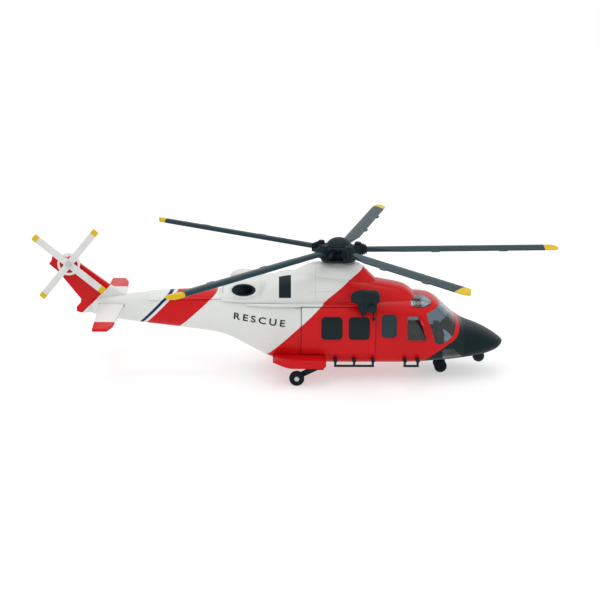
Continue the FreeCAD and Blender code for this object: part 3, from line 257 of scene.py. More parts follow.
@dataclass(frozen=True)
class MouldedPlastic:
    """Plain moulded plastic: a mottled colour, fine grain and soft gloss."""

    name: str
    colour: Colour
    roughness: float = 0.4
    grain: float = 0.00002
    coat: float = 0.0

    def material(self) -> bpy.types.Material:
        """Build the material."""
        board = NodeBoard(self.name)
        cloudy = board.noise(90.0)
        darker = tuple(part * 0.86 for part in self.colour)
        board.set(
            Base_Color=board.blend(cloudy, darker, self.colour),
            Roughness=board.spread(
                board.noise(240.0), self.roughness - 0.06, self.roughness + 0.06
            ),
        )
        board.shader.inputs["Specular IOR Level"].default_value = 0.12
        board.shader.inputs["Coat Weight"].default_value = self.coat
        board.shader.inputs["Coat Roughness"].default_value = 0.12
        board.relief(board.noise(1500.0, 2.0), self.grain, 0.5)
        return board.material


@dataclass(frozen=True)
class BareMetal:
    """Turned metal with a fine brushed grain."""

    name: str
    colour: Colour = (0.56, 0.57, 0.58)
    roughness: float = 0.3

    def material(self) -> bpy.types.Material:
        """Build the material."""
        board = NodeBoard(self.name)
        worn = board.noise(900.0, 4.0)
        board.set(
            Base_Color=board.blend(worn, tuple(part * 0.75 for part in self.colour), self.colour),
            Metallic=1.0,
            Roughness=board.spread(worn, self.roughness - 0.08, self.roughness + 0.12),
        )
        board.relief(worn, 0.00001, 0.4)
        return board.material


@dataclass(frozen=True)
class Groove:
    """A thin shaded panel line, straight up or straight along, in millimetres."""

    upright: bool
    place: float
    start: float
    end: float
    width: float = 0.3
    depth: float = 0.5

    def mask(
        self, board: NodeBoard, along: bpy.types.NodeSocket, up: bpy.types.NodeSocket
    ) -> bpy.types.NodeSocket:
        """How much of the groove shows at a place.

        Args:
            board: The material's board.
            along: X of the place.
            up: Z of the place.

        Returns:
            The mask's socket.
        """
        across, run = (along, up) if self.upright else (up, along)
        line = board.between(across, self.place - self.width / 2, self.place + self.width / 2)
        stretch = board.between(run, self.start, self.end)
        return board.math("MULTIPLY", board.math("MULTIPLY", line, stretch), self.depth)


@dataclass(frozen=True)
class LiveryPaint:
    """The red, white and navy paint scheme, laid out in side view in millimetres, with painted
    shade on the cabin's inner faces.
    """

    name: str = "livery paint"
    main_lean: float = 1.07
    main_edge: float = -54.7
    cowl_line: float = 43.0
    boom_lean: float = 0.97
    navy_edges: tuple[float, float] = (-152.7, -150.3)
    band_front_lean: float = 1.057
    band_edges: tuple[float, float] = (-147.9, -126.6)
    tail_lean: float = 1.006
    tail_edge: float = -195.9
    black_lean: float = 1.336
    black_edge: float = 48.2
    black_from: float = 71.2
    hoop_centre: tuple[float, float] = (62.8, 26.5)
    hoop_radius: float = 12.7
    lined: bool = True
    # Where painted shade darkens the faces that look into the cabin, in millimetres.
    hollow_from: float = -30.0
    hollow_floor: float = 1.5
    hollow_top: float = 41.0
    hollow_middle: float = 22.0
    grooves: tuple[Groove, ...] = (
        Groove(True, -51.4, 43.3, 56.8, 0.22, 0.3),
        Groove(True, -17.0, 43.2, 64.0, 0.22, 0.3),
        Groove(True, 3.2, 57.0, 64.0, 0.2, 0.25),
        Groove(True, -76.0, 44.6, 50.2, 0.35, 0.7),
        Groove(False, 47.3, -20.0, 8.0, 0.22, 0.4),
        Groove(True, -25.95, 8.6, 38.4, 0.45, 0.85),
        Groove(False, 38.55, -26.1, 21.4, 0.4, 0.8),
        Groove(True, 21.35, 9.0, 38.4, 0.5, 0.85),
        Groove(True, 37.2, 5.0, 38.0, 0.2, 0.2),
        Groove(True, 78.2, 0.0, 30.0, 0.35, 0.4),
    )

    def lean(
        self, board: NodeBoard, along: Feed, up: Feed, slope: float
    ) -> bpy.types.NodeSocket:
        """X measured from a line through the origin that leans back by a slope."""
        return board.math("MULTIPLY_ADD", up, -slope, along)

    def bands(
        self, board: NodeBoard, along: bpy.types.NodeSocket, up: bpy.types.NodeSocket
    ) -> bpy.types.NodeSocket:
        """Paint the coloured bands.

        Args:
            board: The material's board.
            along: X of the place.
            up: Z of the place.

        Returns:
            The paint colour's socket.
        """
        above = board.math("MAXIMUM", board.math("SUBTRACT", up, self.cowl_line), 0.0)
        main = board.math(
            "MULTIPLY_ADD", above, -0.2, self.lean(board, along, up, self.main_lean)
        )
        boom = self.lean(board, along, up, self.boom_lean)
        red = board.beyond(main, self.main_edge)
        front = self.lean(board, along, up, self.band_front_lean)
        band = board.math(
            "MULTIPLY",
            board.beyond(boom, self.band_edges[0]),
            board.math("SUBTRACT", 1.0, board.beyond(front, self.band_edges[1])),
        )
        tail = self.lean(board, along, up, self.tail_lean)
        aft = board.math("SUBTRACT", 1.0, board.beyond(tail, self.tail_edge))
        red = board.math("MAXIMUM", board.math("MAXIMUM", red, band), aft)
        colour = board.blend(red, WHITE, RED)
        return board.blend(board.between(boom, *self.navy_edges), colour, NAVY)

    def black_nose(
        self, board: NodeBoard, along: bpy.types.NodeSocket, up: bpy.types.NodeSocket
    ) -> bpy.types.NodeSocket:
        """The mask of the black nose, outside the red hoop ahead of the windshield."""
        reach = [
            board.math("POWER", board.math("ABSOLUTE", board.math("SUBTRACT", value, centre)), 2.0)
            for value, centre in zip((along, up), self.hoop_centre)
        ]
        hoop = board.math("SQRT", board.math("ADD", *reach))
        ahead = board.math(
            "MAXIMUM",
            board.beyond(self.lean(board, along, up, self.black_lean), self.black_edge),
            board.beyond(along, self.black_from),
        )
        return board.math("MULTIPLY", ahead, board.beyond(hoop, self.hoop_radius))

    def hollow(
        self,
        board: NodeBoard,
        along: bpy.types.NodeSocket,
        across: bpy.types.NodeSocket,
        up: bpy.types.NodeSocket,
    ) -> bpy.types.NodeSocket:
        """The mask of the faces that look inwards, into the cabin, where shade is painted on."""
        facing = board.add("ShaderNodeSeparateXYZ")
        board.feed(facing.inputs[0], board.add("ShaderNodeTexCoord").outputs["Normal"])
        sideways = board.math("MULTIPLY", facing.outputs[1], across)
        height = board.math("SUBTRACT", up, self.hollow_middle)
        outward = board.math("MULTIPLY_ADD", facing.outputs[2], height, sideways)
        inward = board.math("SUBTRACT", 1.0, board.beyond(outward, -0.6, 0.4))
        cabin = board.math(
            "MULTIPLY",
            board.beyond(along, self.hollow_from),
            board.between(up, self.hollow_floor, self.hollow_top),
        )
        return board.math("MULTIPLY", inward, cabin)

    def material(self) -> bpy.types.Material:
        """Build the material."""
        board = NodeBoard(self.name)
        along, across, up = board.axes()
        colour = self.bands(board, along, up)
        colour = board.blend(self.black_nose(board, along, up), colour, SOOT)
        lines = board.math("ADD", 0.0, 0.0)  # paint with no grooves has a mask of zero
        for groove in self.grooves if self.lined else ():
            lines = board.math("MAXIMUM", lines, groove.mask(board, along, up))
        colour = board.blend(lines, colour, GROOVE_AND_SHADE_DARK)
        # Painted shade on the faces that look into the cabin, for the dark inside.
        colour = board.blend(self.hollow(board, along, across, up), colour, GROOVE_AND_SHADE_DARK)
        cloudy = board.blend(board.noise(60.0), (0.90, 0.90, 0.90), (1.0, 1.0, 1.0))
        tone = board.add("ShaderNodeMix", data_type="RGBA", blend_type="MULTIPLY")
        tone.inputs["Factor"].default_value = 1.0
        board.feed(tone.inputs[6], colour)
        board.feed(tone.inputs[7], cloudy)
        board.set(
            Base_Color=tone.outputs[2],
            Roughness=board.spread(board.noise(300.0), 0.24, 0.36),
        )
        board.shader.inputs["Specular IOR Level"].default_value = 0.16
        board.shader.inputs["Coat Weight"].default_value = 0.05
        board.shader.inputs["Coat Roughness"].default_value = 0.1
        wavy = board.math("MULTIPLY_ADD", lines, -2.0, board.noise(700.0, 2.0))
        board.relief(wavy, 0.00004, 0.4)
        return board.material


@dataclass(frozen=True)
class TippedPaint:
    """A blade colour with yellow tips past a radius from a centre."""

    name: str
    colour: Colour
    centre: Point
    tip_from: float
    roughness: float = 0.38

    def material(self) -> bpy.types.Material:
        """Build the material."""
        board = NodeBoard(self.name)
        away = board.add("ShaderNodeVectorMath", operation="DISTANCE")
        board.feed(away.inputs[0], board.place())
        away.inputs[1].default_value = self.centre
        tips = board.beyond(away.outputs["Value"], self.tip_from, 0.0002)
        cloudy = board.noise(120.0)
        base = board.blend(cloudy, tuple(part * 0.8 for part in self.colour), self.colour)
        board.set(
            Base_Color=board.blend(tips, base, YELLOW),
            Roughness=board.spread(
                board.noise(400.0), self.roughness - 0.06, self.roughness + 0.08
            ),
        )
        board.shader.inputs["Specular IOR Level"].default_value = 0.16
        board.relief(board.noise(1800.0, 2.0), 0.00002, 0.4)
        return board.material


@dataclass(frozen=True)
class EndedPaint:
    """White paint with red ends, for the tailplane, in millimetres across."""

    name: str = "tailplane paint"
    starboard_end: float = -45.0
    port_end: float = 37.5

    def material(self) -> bpy.types.Material:
        """Build the material."""
        board = NodeBoard(self.name)
        _, across, _ = board.axes()
        white = board.between(across, self.starboard_end, self.port_end)
        cloudy = board.blend(board.noise(70.0), tuple(part * 0.93 for part in WHITE), WHITE)
        board.set(
            Base_Color=board.blend(white, RED, cloudy),
            Roughness=board.spread(board.noise(300.0), 0.28, 0.4),
        )
        board.shader.inputs["Specular IOR Level"].default_value = 0.16
        board.relief(board.noise(700.0, 2.0), 0.00003, 0.3)
        return board.material


@dataclass(frozen=True)
class ClearPane:
    """Clear or tinted moulded glazing."""

    name: str
    tint: Colour
    roughness: float = 0.03
    through: float = 1.0

    def material(self) -> bpy.types.Material:
        """Build the material."""
        board = NodeBoard(self.name)
        board.set(
            Base_Color=board.blend(
                board.noise(150.0), tuple(part * 0.94 for part in self.tint), self.tint
            ),
            Roughness=board.spread(board.noise(400.0), self.roughness, self.roughness + 0.04),
        )
        board.shader.inputs["Transmission Weight"].default_value = self.through
        board.shader.inputs["IOR"].default_value = 1.46
        board.relief(board.noise(160.0, 2.0), 0.00006, 0.25)
        return board.material


class Paintbox:
    """Every finish of the model, by the record's slot or by node."""

    def __init__(self) -> None:
        """Mix every finish once."""
        self.slots = self.by_slot()

    def by_slot(self) -> dict[str, bpy.types.Material]:
        """The finish of each material slot of the record."""
        finishes = {
            "painted_red_white": LiveryPaint(),
            "gloss_black": MouldedPlastic("gloss black", SOOT, 0.42),
            "satin_black": MouldedPlastic("satin black", (0.008, 0.018, 0.021), 0.45),
            "blade_grey": TippedPaint("blade paint", SLATE, (-0.002, 0.0, 0.071), 0.1345),
            "white_plastic": MouldedPlastic("white plastic", WHITE, 0.4),
            "clear_pane": ClearPane("clear pane", (0.30, 0.37, 0.42)),
            "dark_pane": MouldedPlastic("black pane", (0.001, 0.009, 0.012), 0.12, 0.00001, 0.15),
            "smoked_pane": MouldedPlastic("smoked pane", (0.014, 0.034, 0.042), 0.16, 0.00001, 0.2),
            "tyre_black": MouldedPlastic("tyre", (0.003, 0.009, 0.011), 0.55, 0.00004),
            "bright_pin": BareMetal("bright pin"),
            # The cabin plastic is near black: partly its own dark grey, partly painted shade for
            # the closed cabin.
            "interior_grey": MouldedPlastic("cabin lining", (0.030, 0.040, 0.045), 0.6, 0.00005),
            "screw_steel": BareMetal("screw steel", (0.42, 0.42, 0.43), 0.38),
            "bearing_plastic": MouldedPlastic("bearing plastic", (0.55, 0.55, 0.52), 0.45),
        }
        return {slot: finish.material() for slot, finish in finishes.items()}

    def by_node(self) -> dict[str, bpy.types.Material]:
        """Finishes of single nodes that differ from their slot's."""
        roof = ClearPane("clear roof pane", (0.80, 0.84, 0.84), 0.10)
        chin = ClearPane("chin pane", (0.42, 0.47, 0.48), 0.05)
        black = MouldedPlastic("black axle", SOOT, 0.4)
        # Sponsons and window rims take this paint: no panel lines and no painted cabin shade.
        solid = LiveryPaint("solid livery paint", lined=False, hollow_from=1000.0).material()
        return {
            **{"eyebrow_window_" + side.word: roof.material() for side in Side},
            **{"chin_window_" + side.word: chin.material() for side in Side},
            **{"sponson_" + side.word: solid for side in Side},
            "nose_axle": black.material(),
            "tailplane": EndedPaint().material(),
            "tail_rotor": TippedPaint(
                "tail rotor paint", WHITE, (-0.1732, -0.009, 0.0631), 0.0247, 0.35
            ).material(),
        }

    def dress(self, frame: dict) -> dict[str, bpy.types.Material]:
        """Give every CAD node its finish.


        Returns:
            Each node's finish.
        """
        finishes = {}
        slots = self.slots
        special = self.by_node()
        for subpart in frame["record"]["subparts"]:
            name = subpart["node"]
            finish = special.get(name) or slots[subpart["material_slot"]]
            mesh = frame["nodes"][name].data
            mesh.materials.clear()
            mesh.materials.append(finish)
            finishes[name] = finish
            LOG.info("dressed %s in %s", name, finish.name)
        return finishes


class Forge:
    """Makes pieces the way a modeller does: a primitive, edit mode, then modifiers."""

    @staticmethod
    def choose(*pieces: bpy.types.Object) -> None:
        """Select only these pieces, in object mode; the first is active."""
        if bpy.context.object is not None and bpy.context.object.mode != "OBJECT":
            bpy.ops.object.mode_set(mode="OBJECT")
        bpy.ops.object.select_all(action="DESELECT")
        for piece in pieces:
            piece.select_set(True)
        if pieces:
            bpy.context.view_layer.objects.active = pieces[0]

    @classmethod
    def settle(cls, piece: bpy.types.Object) -> bpy.types.Object:
        """Put a piece's place, turn and size into its mesh."""
        cls.choose(piece)
        bpy.ops.object.transform_apply(location=True, rotation=True, scale=True)
        return piece

    @classmethod
    def modify(cls, piece: bpy.types.Object, kind: str, **settings: object) -> bpy.types.Object:
        """Add a modifier and apply it.

        Args:
            piece: The piece.
            kind: The modifier's type.
            settings: Its settings.

        Returns:
            The same piece.
        """
        modifier = piece.modifiers.new(kind.title(), kind)
        for name, value in settings.items():
            setattr(modifier, name, value)
        cls.choose(piece)
        bpy.ops.object.modifier_apply(modifier=modifier.name)
        return piece

    @classmethod
    def block(
        cls, low: Point, high: Point, bevel: float = 0.5, segments: int = 3, taper: float = 1.0
    ) -> bpy.types.Object:
        """A block with rounded edges, in millimetres.

        Args:
            low: Its lowest corner.
            high: Its highest corner.
            bevel: How far its edges are rounded.
            segments: How many faces round an edge.
            taper: How wide its top is, as a share of its foot.

        Returns:
            The block.
        """
        cls.choose()
        middle = [(a + b) / 2 * MM for a, b in zip(low, high)]
        bpy.ops.mesh.primitive_cube_add(size=1.0, location=middle)
        piece = bpy.context.object
        piece.scale = [(b - a) * MM for a, b in zip(low, high)]
        cls.settle(piece)
        if taper != 1.0:
            top = high[2] * MM - 0.00001
            for face in piece.data.polygons:
                face.select = face.center.z > top
            for corner in piece.data.vertices:
                corner.select = corner.co.z > top
            for edge in piece.data.edges:
                edge.select = all(piece.data.vertices[end].co.z > top for end in edge.vertices)
            bpy.ops.object.mode_set(mode="EDIT")
            bpy.ops.transform.resize(
                value=(taper, taper, 1.0), center_override=(middle[0], middle[1], high[2] * MM)
            )
            bpy.ops.object.mode_set(mode="OBJECT")
        return cls.modify(
            piece, "BEVEL", width=bevel * MM, segments=segments, limit_method="ANGLE"
        )

    @classmethod
    def turned(
        cls, profile: Sequence[tuple[float, float]], place: Point, axis: Point, sides: int = 40
    ) -> bpy.types.Object:
        """A turned piece, closed at both ends, in millimetres.

        Args:
            profile: Radius and height of each ring, from the foot up.
            place: Where the foot's middle goes.
            axis: Which way the piece's own height points.
            sides: How many faces round.

        Returns:
            The piece.
        """
        cls.choose()
        radius, height = profile[0]
        bpy.ops.mesh.primitive_circle_add(
            vertices=sides, radius=radius * MM, location=(0.0, 0.0, height * MM),
            fill_type="NGON",
        )
        piece = bpy.context.object
        cls.settle(piece)
        bpy.ops.object.mode_set(mode="EDIT")
        bpy.ops.mesh.select_all(action="SELECT")
        for (before, low), (after, high) in zip(profile, profile[1:]):
            bpy.ops.mesh.extrude_region_move(
                TRANSFORM_OT_translate={"value": (0.0, 0.0, (high - low) * MM)}
            )
            bpy.ops.transform.resize(
                value=(after / before, after / before, 1.0),
                center_override=(0.0, 0.0, high * MM),
            )
        bpy.ops.mesh.select_all(action="SELECT")
        bpy.ops.mesh.remove_doubles(threshold=0.000001)
        bpy.ops.mesh.normals_make_consistent(inside=False)
        bpy.ops.object.mode_set(mode="OBJECT")
        piece.rotation_euler = Vector(axis).to_track_quat("Z", "Y").to_euler()
        piece.location = [value * MM for value in place]
        return cls.settle(piece)

    @classmethod
    def turned_about(
        cls, piece: bpy.types.Object, degrees: float, centre: Point
    ) -> bpy.types.Object:
        """A copy of a piece, with its own mesh, turned about an upright axis."""
        copy = piece.copy()
        copy.data = piece.data.copy()
        bpy.context.collection.objects.link(copy)
        middle = Vector(centre) * MM
        copy.matrix_world = (
            Matrix.Translation(middle)
            @ Matrix.Rotation(math.radians(degrees), 4, "Z")
            @ Matrix.Translation(-middle)
        )
        return cls.settle(copy)

    @classmethod
    def flipped(cls, piece: bpy.types.Object) -> bpy.types.Object:
        """A copy of a piece, with its own mesh, on the other side of the aircraft."""
        copy = piece.copy()
        copy.data = piece.data.copy()
        bpy.context.collection.objects.link(copy)
        copy.scale = (1.0, -1.0, 1.0)
        cls.settle(copy)
        bpy.ops.object.mode_set(mode="EDIT")
        bpy.ops.mesh.select_all(action="SELECT")
        bpy.ops.mesh.normals_make_consistent(inside=False)
        bpy.ops.object.mode_set(mode="OBJECT")
        return copy

    @classmethod
    def joined(cls, pieces: Sequence[bpy.types.Object]) -> bpy.types.Object:
        """Join pieces into the first one."""
        cls.choose(*pieces)
        bpy.ops.object.join()
        return pieces[0]

    @classmethod
    def softened(
        cls, frame: dict, node: str, bevel: float, segments: int = 2, angle: float = 38.0
    ) -> bpy.types.Object:
        """A merged copy of a CAD node's mesh with its sharp edges rounded.

        Args:
            node: The node.
            bevel: How far edges are rounded, in millimetres.
            segments: How many faces round an edge.
            angle: How sharp an edge has to be, in degrees.

        Returns:
            The copy.
        """
        source = frame["nodes"][node]
        copy = bpy.data.objects.new(node + "_soft", source.data.copy())
        bpy.context.collection.objects.link(copy)
        cls.choose(copy)
        bpy.ops.object.mode_set(mode="EDIT")
        bpy.ops.mesh.select_all(action="SELECT")
        bpy.ops.mesh.remove_doubles(threshold=0.000002)
        bpy.ops.mesh.dissolve_limited(angle_limit=math.radians(1.0))
        bpy.ops.object.mode_set(mode="OBJECT")
        return cls.modify(
            copy, "BEVEL", width=bevel * MM, segments=segments, limit_method="ANGLE",
            angle_limit=math.radians(angle),
        )

    @classmethod
    def finish(
        cls,
        piece: bpy.types.Object,
        name: str,
        material: bpy.types.Material,
        slot: str,
        body: str = "fuselage",
        smooth: float = 35.0,
    ) -> bpy.types.Object:
        """slot: The record's slot that the finish comes from; not used.
            body: The body it rides on.
            smooth: The angle up to which edges are shaded smooth, in degrees.

        Returns:
            The same piece.
        """
        piece.name = name
        piece.data.name = name
        piece.data.materials.clear()
        piece.data.materials.append(material)
        cls.choose(piece)
        bpy.ops.object.shade_smooth_by_angle(angle=math.radians(smooth))
        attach(piece, body)
        LOG.info("made %s: %d faces, on %s", name, len(piece.data.polygons), body)
        return piece


@dataclass
class RotorHead:
    """The blade grips and dampers round the hub, in millimetres."""

    axis: Point = (-2.0, 0.0, 0.0)
    phase: float = 6.8
    arms: int = 5
    inner: float = 8.4
    outer: float = 16.4
    half_width: float = 3.5
    bottom: float = 68.2
    top: float = 74.0
    ribs: int = 4
    rib_pitch: float = 1.15
    rib_width: float = 0.6
    rib_bottom: float = 67.6
    rib_top: float = 75.0
    ring_bottom: float = 72.6

    def grip(self) -> bpy.types.Object:
        """One grip along +X: a block with a damper under it, a knob on it and ribs across."""
        start = self.axis[0]
        parts = [
            Forge.block(
                (start + self.inner, -self.half_width, self.bottom),
                (start + self.outer, self.half_width, self.top), 1.1, 4, 0.86,
            ),
            Forge.turned(
                [(1.6, 0.0), (2.3, 0.3), (2.3, 0.9), (1.9, 1.1), (1.9, 1.4), (2.2, 1.6),
                 (2.0, 2.2), (1.0, 2.6), (0.3, 2.7)],
                (start + 12.4, 0.0, self.top - 0.5), (0.0, 0.0, 1.0), 24,
            ),
            Forge.turned(
                [(2.7, 0.0), (2.7, 0.9), (2.2, 1.1), (2.2, 1.4), (2.6, 1.6), (2.4, 2.3),
                 (0.4, 2.6)],
                (start + 11.6, 0.0, self.bottom + 0.6), (0.0, 0.0, -1.0), 24,
            ),
            Forge.turned(
                [(0.9, 0.0), (1.3, 0.2), (1.3, 5.4), (0.8, 5.8), (0.3, 5.9)],
                (start + self.inner + 1.0, self.half_width - 0.5, 70.6), (0.75, 0.55, -0.1), 20,
            ),
        ]
        for number in range(self.ribs):
            rib = start + self.outer - 2.6 + self.rib_pitch * number
            reach = self.half_width + 0.5 - 0.25 * number
            low = (rib, -reach, self.rib_bottom + 0.3 * number)
            high = (rib + self.rib_width, reach, self.rib_top - 0.4 * number)
            parts.append(Forge.block(low, high, 0.25, 2))
        return Forge.joined(parts)

    def build(self, finish: bpy.types.Material) -> None:
        """Build the five grips.

        Args:
            finish: The black plastic.
        """
        first = self.grip()
        step = 360.0 / self.arms
        grips = [
            Forge.turned_about(first, self.phase + step * number, self.axis)
            for number in range(self.arms)
        ]
        bpy.data.objects.remove(first)
        ring = Forge.turned(
            [(8.0, 0.0), (9.4, 0.2), (9.9, 0.9), (9.4, 1.4), (8.4, 1.6), (8.4, 2.3),
             (7.4, 2.6), (6.2, 3.2)],
            (self.axis[0], 0.0, self.ring_bottom), (0.0, 0.0, 1.0), 60,
        )
        Forge.finish(
            Forge.joined(grips + [ring]), "rotor_head_grips", finish, "satin_black", "main_rotor"
        )


@dataclass
class Lettering:
    """The word on each flank, a generic one, laid on the skin; in millimetres."""

    word: str = "RESCUE"
    start: float = -69.0
    end: float = -36.4
    height: float = 29.65
    drop: float = 0.098
    stand_off: float = 0.12
    letter_size: float = 5.9
    letter_spacing: float = 1.45
    boldness: float = 0.11
    thickness: float = 0.10

    def build(self, frame: dict, finish: bpy.types.Material) -> None:
        """Lay the word on both flanks.

        Args:
            finish: The dark paint.
        """
        for side in Side:
            Forge.choose()
            bpy.ops.object.text_add(location=(0.0, 0.0, 0.0))
            text = bpy.context.object
            text.data.body = self.word
            text.data.size = self.letter_size * MM
            text.data.space_character = self.letter_spacing
            text.data.align_x = "CENTER"
            text.data.align_y = "CENTER"
            text.data.offset = self.boldness * MM
            bpy.ops.object.convert(target="MESH")
            piece = bpy.context.object
            width = piece.dimensions.x
            piece.scale = ((self.end - self.start) * MM / width, 1.0, 1.0)
            Forge.settle(piece)
            turn = 0.0 if side is Side.STARBOARD else math.pi
            piece.matrix_world = (
                Matrix.Translation(
                    ((self.start + self.end) / 2 * MM, side.value * CLEAR_OF_SKIN, self.height * MM)
                )
                @ Matrix.Rotation(self.drop, 4, "Y") @ Matrix.Rotation(turn, 4, "Z")
                @ Matrix.Rotation(math.pi / 2, 4, "X")
            )
            Forge.settle(piece)
            bpy.ops.object.mode_set(mode="EDIT")
            bpy.ops.mesh.select_all(action="SELECT")
            bpy.ops.mesh.remove_doubles(threshold=0.000002)
            bpy.ops.mesh.quads_convert_to_tris()
            bpy.ops.mesh.subdivide(number_cuts=2)
            bpy.ops.object.mode_set(mode="OBJECT")
            Forge.modify(
                piece, "SHRINKWRAP", target=frame["nodes"]["lower_fuselage_shell"],
                wrap_method="PROJECT", use_project_y=True, use_negative_direction=True,
                use_positive_direction=True, project_limit=SKIN_REACH,
                offset=self.stand_off * MM, wrap_mode="ABOVE_SURFACE",
            )
            Forge.modify(piece, "SOLIDIFY", thickness=self.thickness * MM, offset=0.0)
            Forge.finish(piece, "flank_word_" + side.word, finish, "satin_black")


@dataclass
class WindowRim:
    """A raised rim round one window, laid on the skin; in millimetres."""

    name: str
    node: str
    body: str
    corners: tuple[tuple[float, float], ...]
    radius: float = 2.6
    width: float = 0.9
    proud: float = 0.3
    margin: float = 0.3

    def build(self, frame: dict, finish: bpy.types.Material) -> None:
        """Lay the rim on both sides.

        Args:
            finish: The paint of the skin round it.
        """
        reach = self.width + self.margin
        spans = [(min(values), max(values)) for values in zip(*self.corners)]
        long, tall = [high - low for low, high in spans]
        middle = [(low + high) / 2 * MM for low, high in spans]
        middle.insert(1, 0.0)
        for side in Side:
            Forge.choose()
            bpy.ops.mesh.primitive_plane_add(size=2.0)
            piece = bpy.context.object
            for vertex, (along, up) in zip(
                piece.data.vertices, [self.corners[k] for k in (0, 1, 3, 2)]
            ):
                vertex.co = (along * MM, 0.0, up * MM)
            bpy.ops.object.mode_set(mode="EDIT")
            bpy.ops.mesh.select_all(action="SELECT")
            bpy.ops.transform.resize(
                value=(1 + 2 * reach / long, 1.0, 1 + 2 * reach / tall),
                center_override=middle,
            )
            bpy.ops.mesh.bevel(
                offset=(self.radius + reach) * MM, segments=6, affect="VERTICES"
            )
            bpy.ops.mesh.select_all(action="SELECT")
            bpy.ops.mesh.inset(thickness=self.width * MM)
            bpy.ops.mesh.select_all(action="DESELECT")
            bpy.ops.object.mode_set(mode="OBJECT")
            pane = max(piece.data.polygons, key=lambda face: face.area)
            pane.select = True
            bpy.ops.object.mode_set(mode="EDIT")
            bpy.ops.mesh.delete(type="FACE")
            bpy.ops.mesh.select_all(action="SELECT")
            bpy.ops.mesh.subdivide(number_cuts=3)
            bpy.ops.object.mode_set(mode="OBJECT")
            piece.location = (0.0, side.value * CLEAR_OF_SKIN, 0.0)
            Forge.settle(piece)
            Forge.modify(
                piece, "SHRINKWRAP", target=frame["nodes"][self.node.format(side.word)],
                wrap_method="PROJECT", use_project_y=True, use_negative_direction=True,
                use_positive_direction=True, project_limit=SKIN_REACH,
            )
            Forge.modify(piece, "SOLIDIFY", thickness=2 * self.proud * MM, offset=0.0)
            bpy.ops.object.mode_set(mode="EDIT")
            bpy.ops.mesh.select_all(action="SELECT")
            bpy.ops.mesh.normals_make_consistent(inside=False)
            bpy.ops.object.mode_set(mode="OBJECT")
            Forge.finish(
                piece, self.name + "_" + side.word, finish, "painted_red_white",
                self.body.format(side.word),
            )


@dataclass
class ExhaustShroud:
    """The white fairing round each exhaust, in millimetres; it hides the pipe's side."""

    mouth: Point = (-62.8, -17.6, 48.8)
    toe: float = 33.0
    profile: tuple[tuple[float, float], ...] = (
        (2.6, -19.0), (3.6, -17.0), (4.5, -14.4), (5.0, -11.5), (5.1, -8.0), (5.1, 9.0),
        (4.3, 9.0), (4.3, -12.5),
    )

    def build(self, finish: bpy.types.Material) -> None:
        """Build both fairings and trim them level with the pipes' mouths.

        Args:
            finish: The paint of the cowl.
        """
        lean = math.radians(self.toe)
        Forge.choose()
        shroud = Forge.turned(
            self.profile, self.mouth, (-math.cos(lean), -math.sin(lean), 0.0), 56
        )
        Forge.choose(shroud)
        bpy.ops.object.mode_set(mode="EDIT")
        bpy.ops.mesh.select_all(action="SELECT")
        bpy.ops.mesh.bisect(
            plane_co=(0.0, (self.mouth[1] + 0.25) * MM, 0.0), plane_no=(0.0, 1.0, 0.0),
            clear_inner=True, use_fill=False,
        )
        bpy.ops.mesh.bridge_edge_loops()
        bpy.ops.mesh.select_all(action="SELECT")
        bpy.ops.mesh.normals_make_consistent(inside=False)
        bpy.ops.object.mode_set(mode="OBJECT")
        port = Forge.flipped(shroud)
        for piece, side in ((shroud, Side.STARBOARD), (port, Side.PORT)):
            Forge.finish(
                piece, "exhaust_fairing_" + side.word, finish, "painted_red_white"
            )


@dataclass
class Winch:
    """The rescue winch beside the cowl, in millimetres."""

    middle: Point = (14.0, -27.4, 46.5)

    def build(self, finish: bpy.types.Material) -> None:
        """Build the drum, its housings, the guide and the hook.

        Args:
            finish: The black plastic.
        """
        x, y, z = self.middle
        parts = [
            Forge.turned(
                [(1.2, 0.0), (2.6, 0.5), (3.6, 1.8), (4.0, 3.4), (4.3, 5.2), (4.7, 6.4),
                 (4.7, 8.0), (4.4, 8.2), (4.4, 11.6), (4.7, 11.8), (4.7, 15.6), (4.2, 17.0),
                 (3.0, 18.0), (1.4, 18.5)],
                (x - 9.3, y, z + 0.6), (1.0, 0.0, 0.0), 44,
            ),
            Forge.block((x - 4.4, y - 2.9, z - 8.8), (x + 7.0, y + 2.8, z), 1.0, 4, 1.08),
            Forge.block((x - 3.4, y - 3.6, z - 7.6), (x - 0.6, y + 1.0, z - 2.0), 0.8, 3, 0.9),
            Forge.turned(
                [(1.9, 0.0), (2.1, 0.3), (2.1, 1.8), (1.2, 2.4), (0.4, 2.5)],
                (x + 3.8, y - 2.4, z - 5.6), (0.0, -1.0, 0.0), 24,
            ),
            Forge.turned(
                [(1.6, 0.0), (1.9, 0.4), (1.7, 2.4), (1.0, 3.4), (0.4, 3.6)],
                (x - 1.0, y, z - 8.2), (0.0, 0.0, -1.0), 24,
            ),
            Forge.turned(
                [(1.5, 0.0), (1.5, 1.2), (0.6, 1.9), (0.45, 3.0), (0.45, 4.2), (0.9, 4.6),
                 (1.1, 5.4), (0.8, 6.2), (0.3, 6.5)],
                (x + 5.4, y, z - 8.3), (0.0, 0.0, -1.0), 24,
            ),
            Forge.turned(
                [(2.9, 0.0), (2.9, 1.0), (2.3, 1.2), (2.3, 12.0)],
                (x + 1.0, y + 1.0, z), (0.0, 1.0, 0.0), 28,
            ),
            Forge.block((x + 2.0, y - 4.6, z + 0.8), (x + 6.8, y + 3.0, z + 4.6), 0.9, 3, 0.8),
        ]
        winch = Forge.finish(Forge.joined(parts), "winch", finish, "satin_black")
        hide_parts("rescue_hoist")


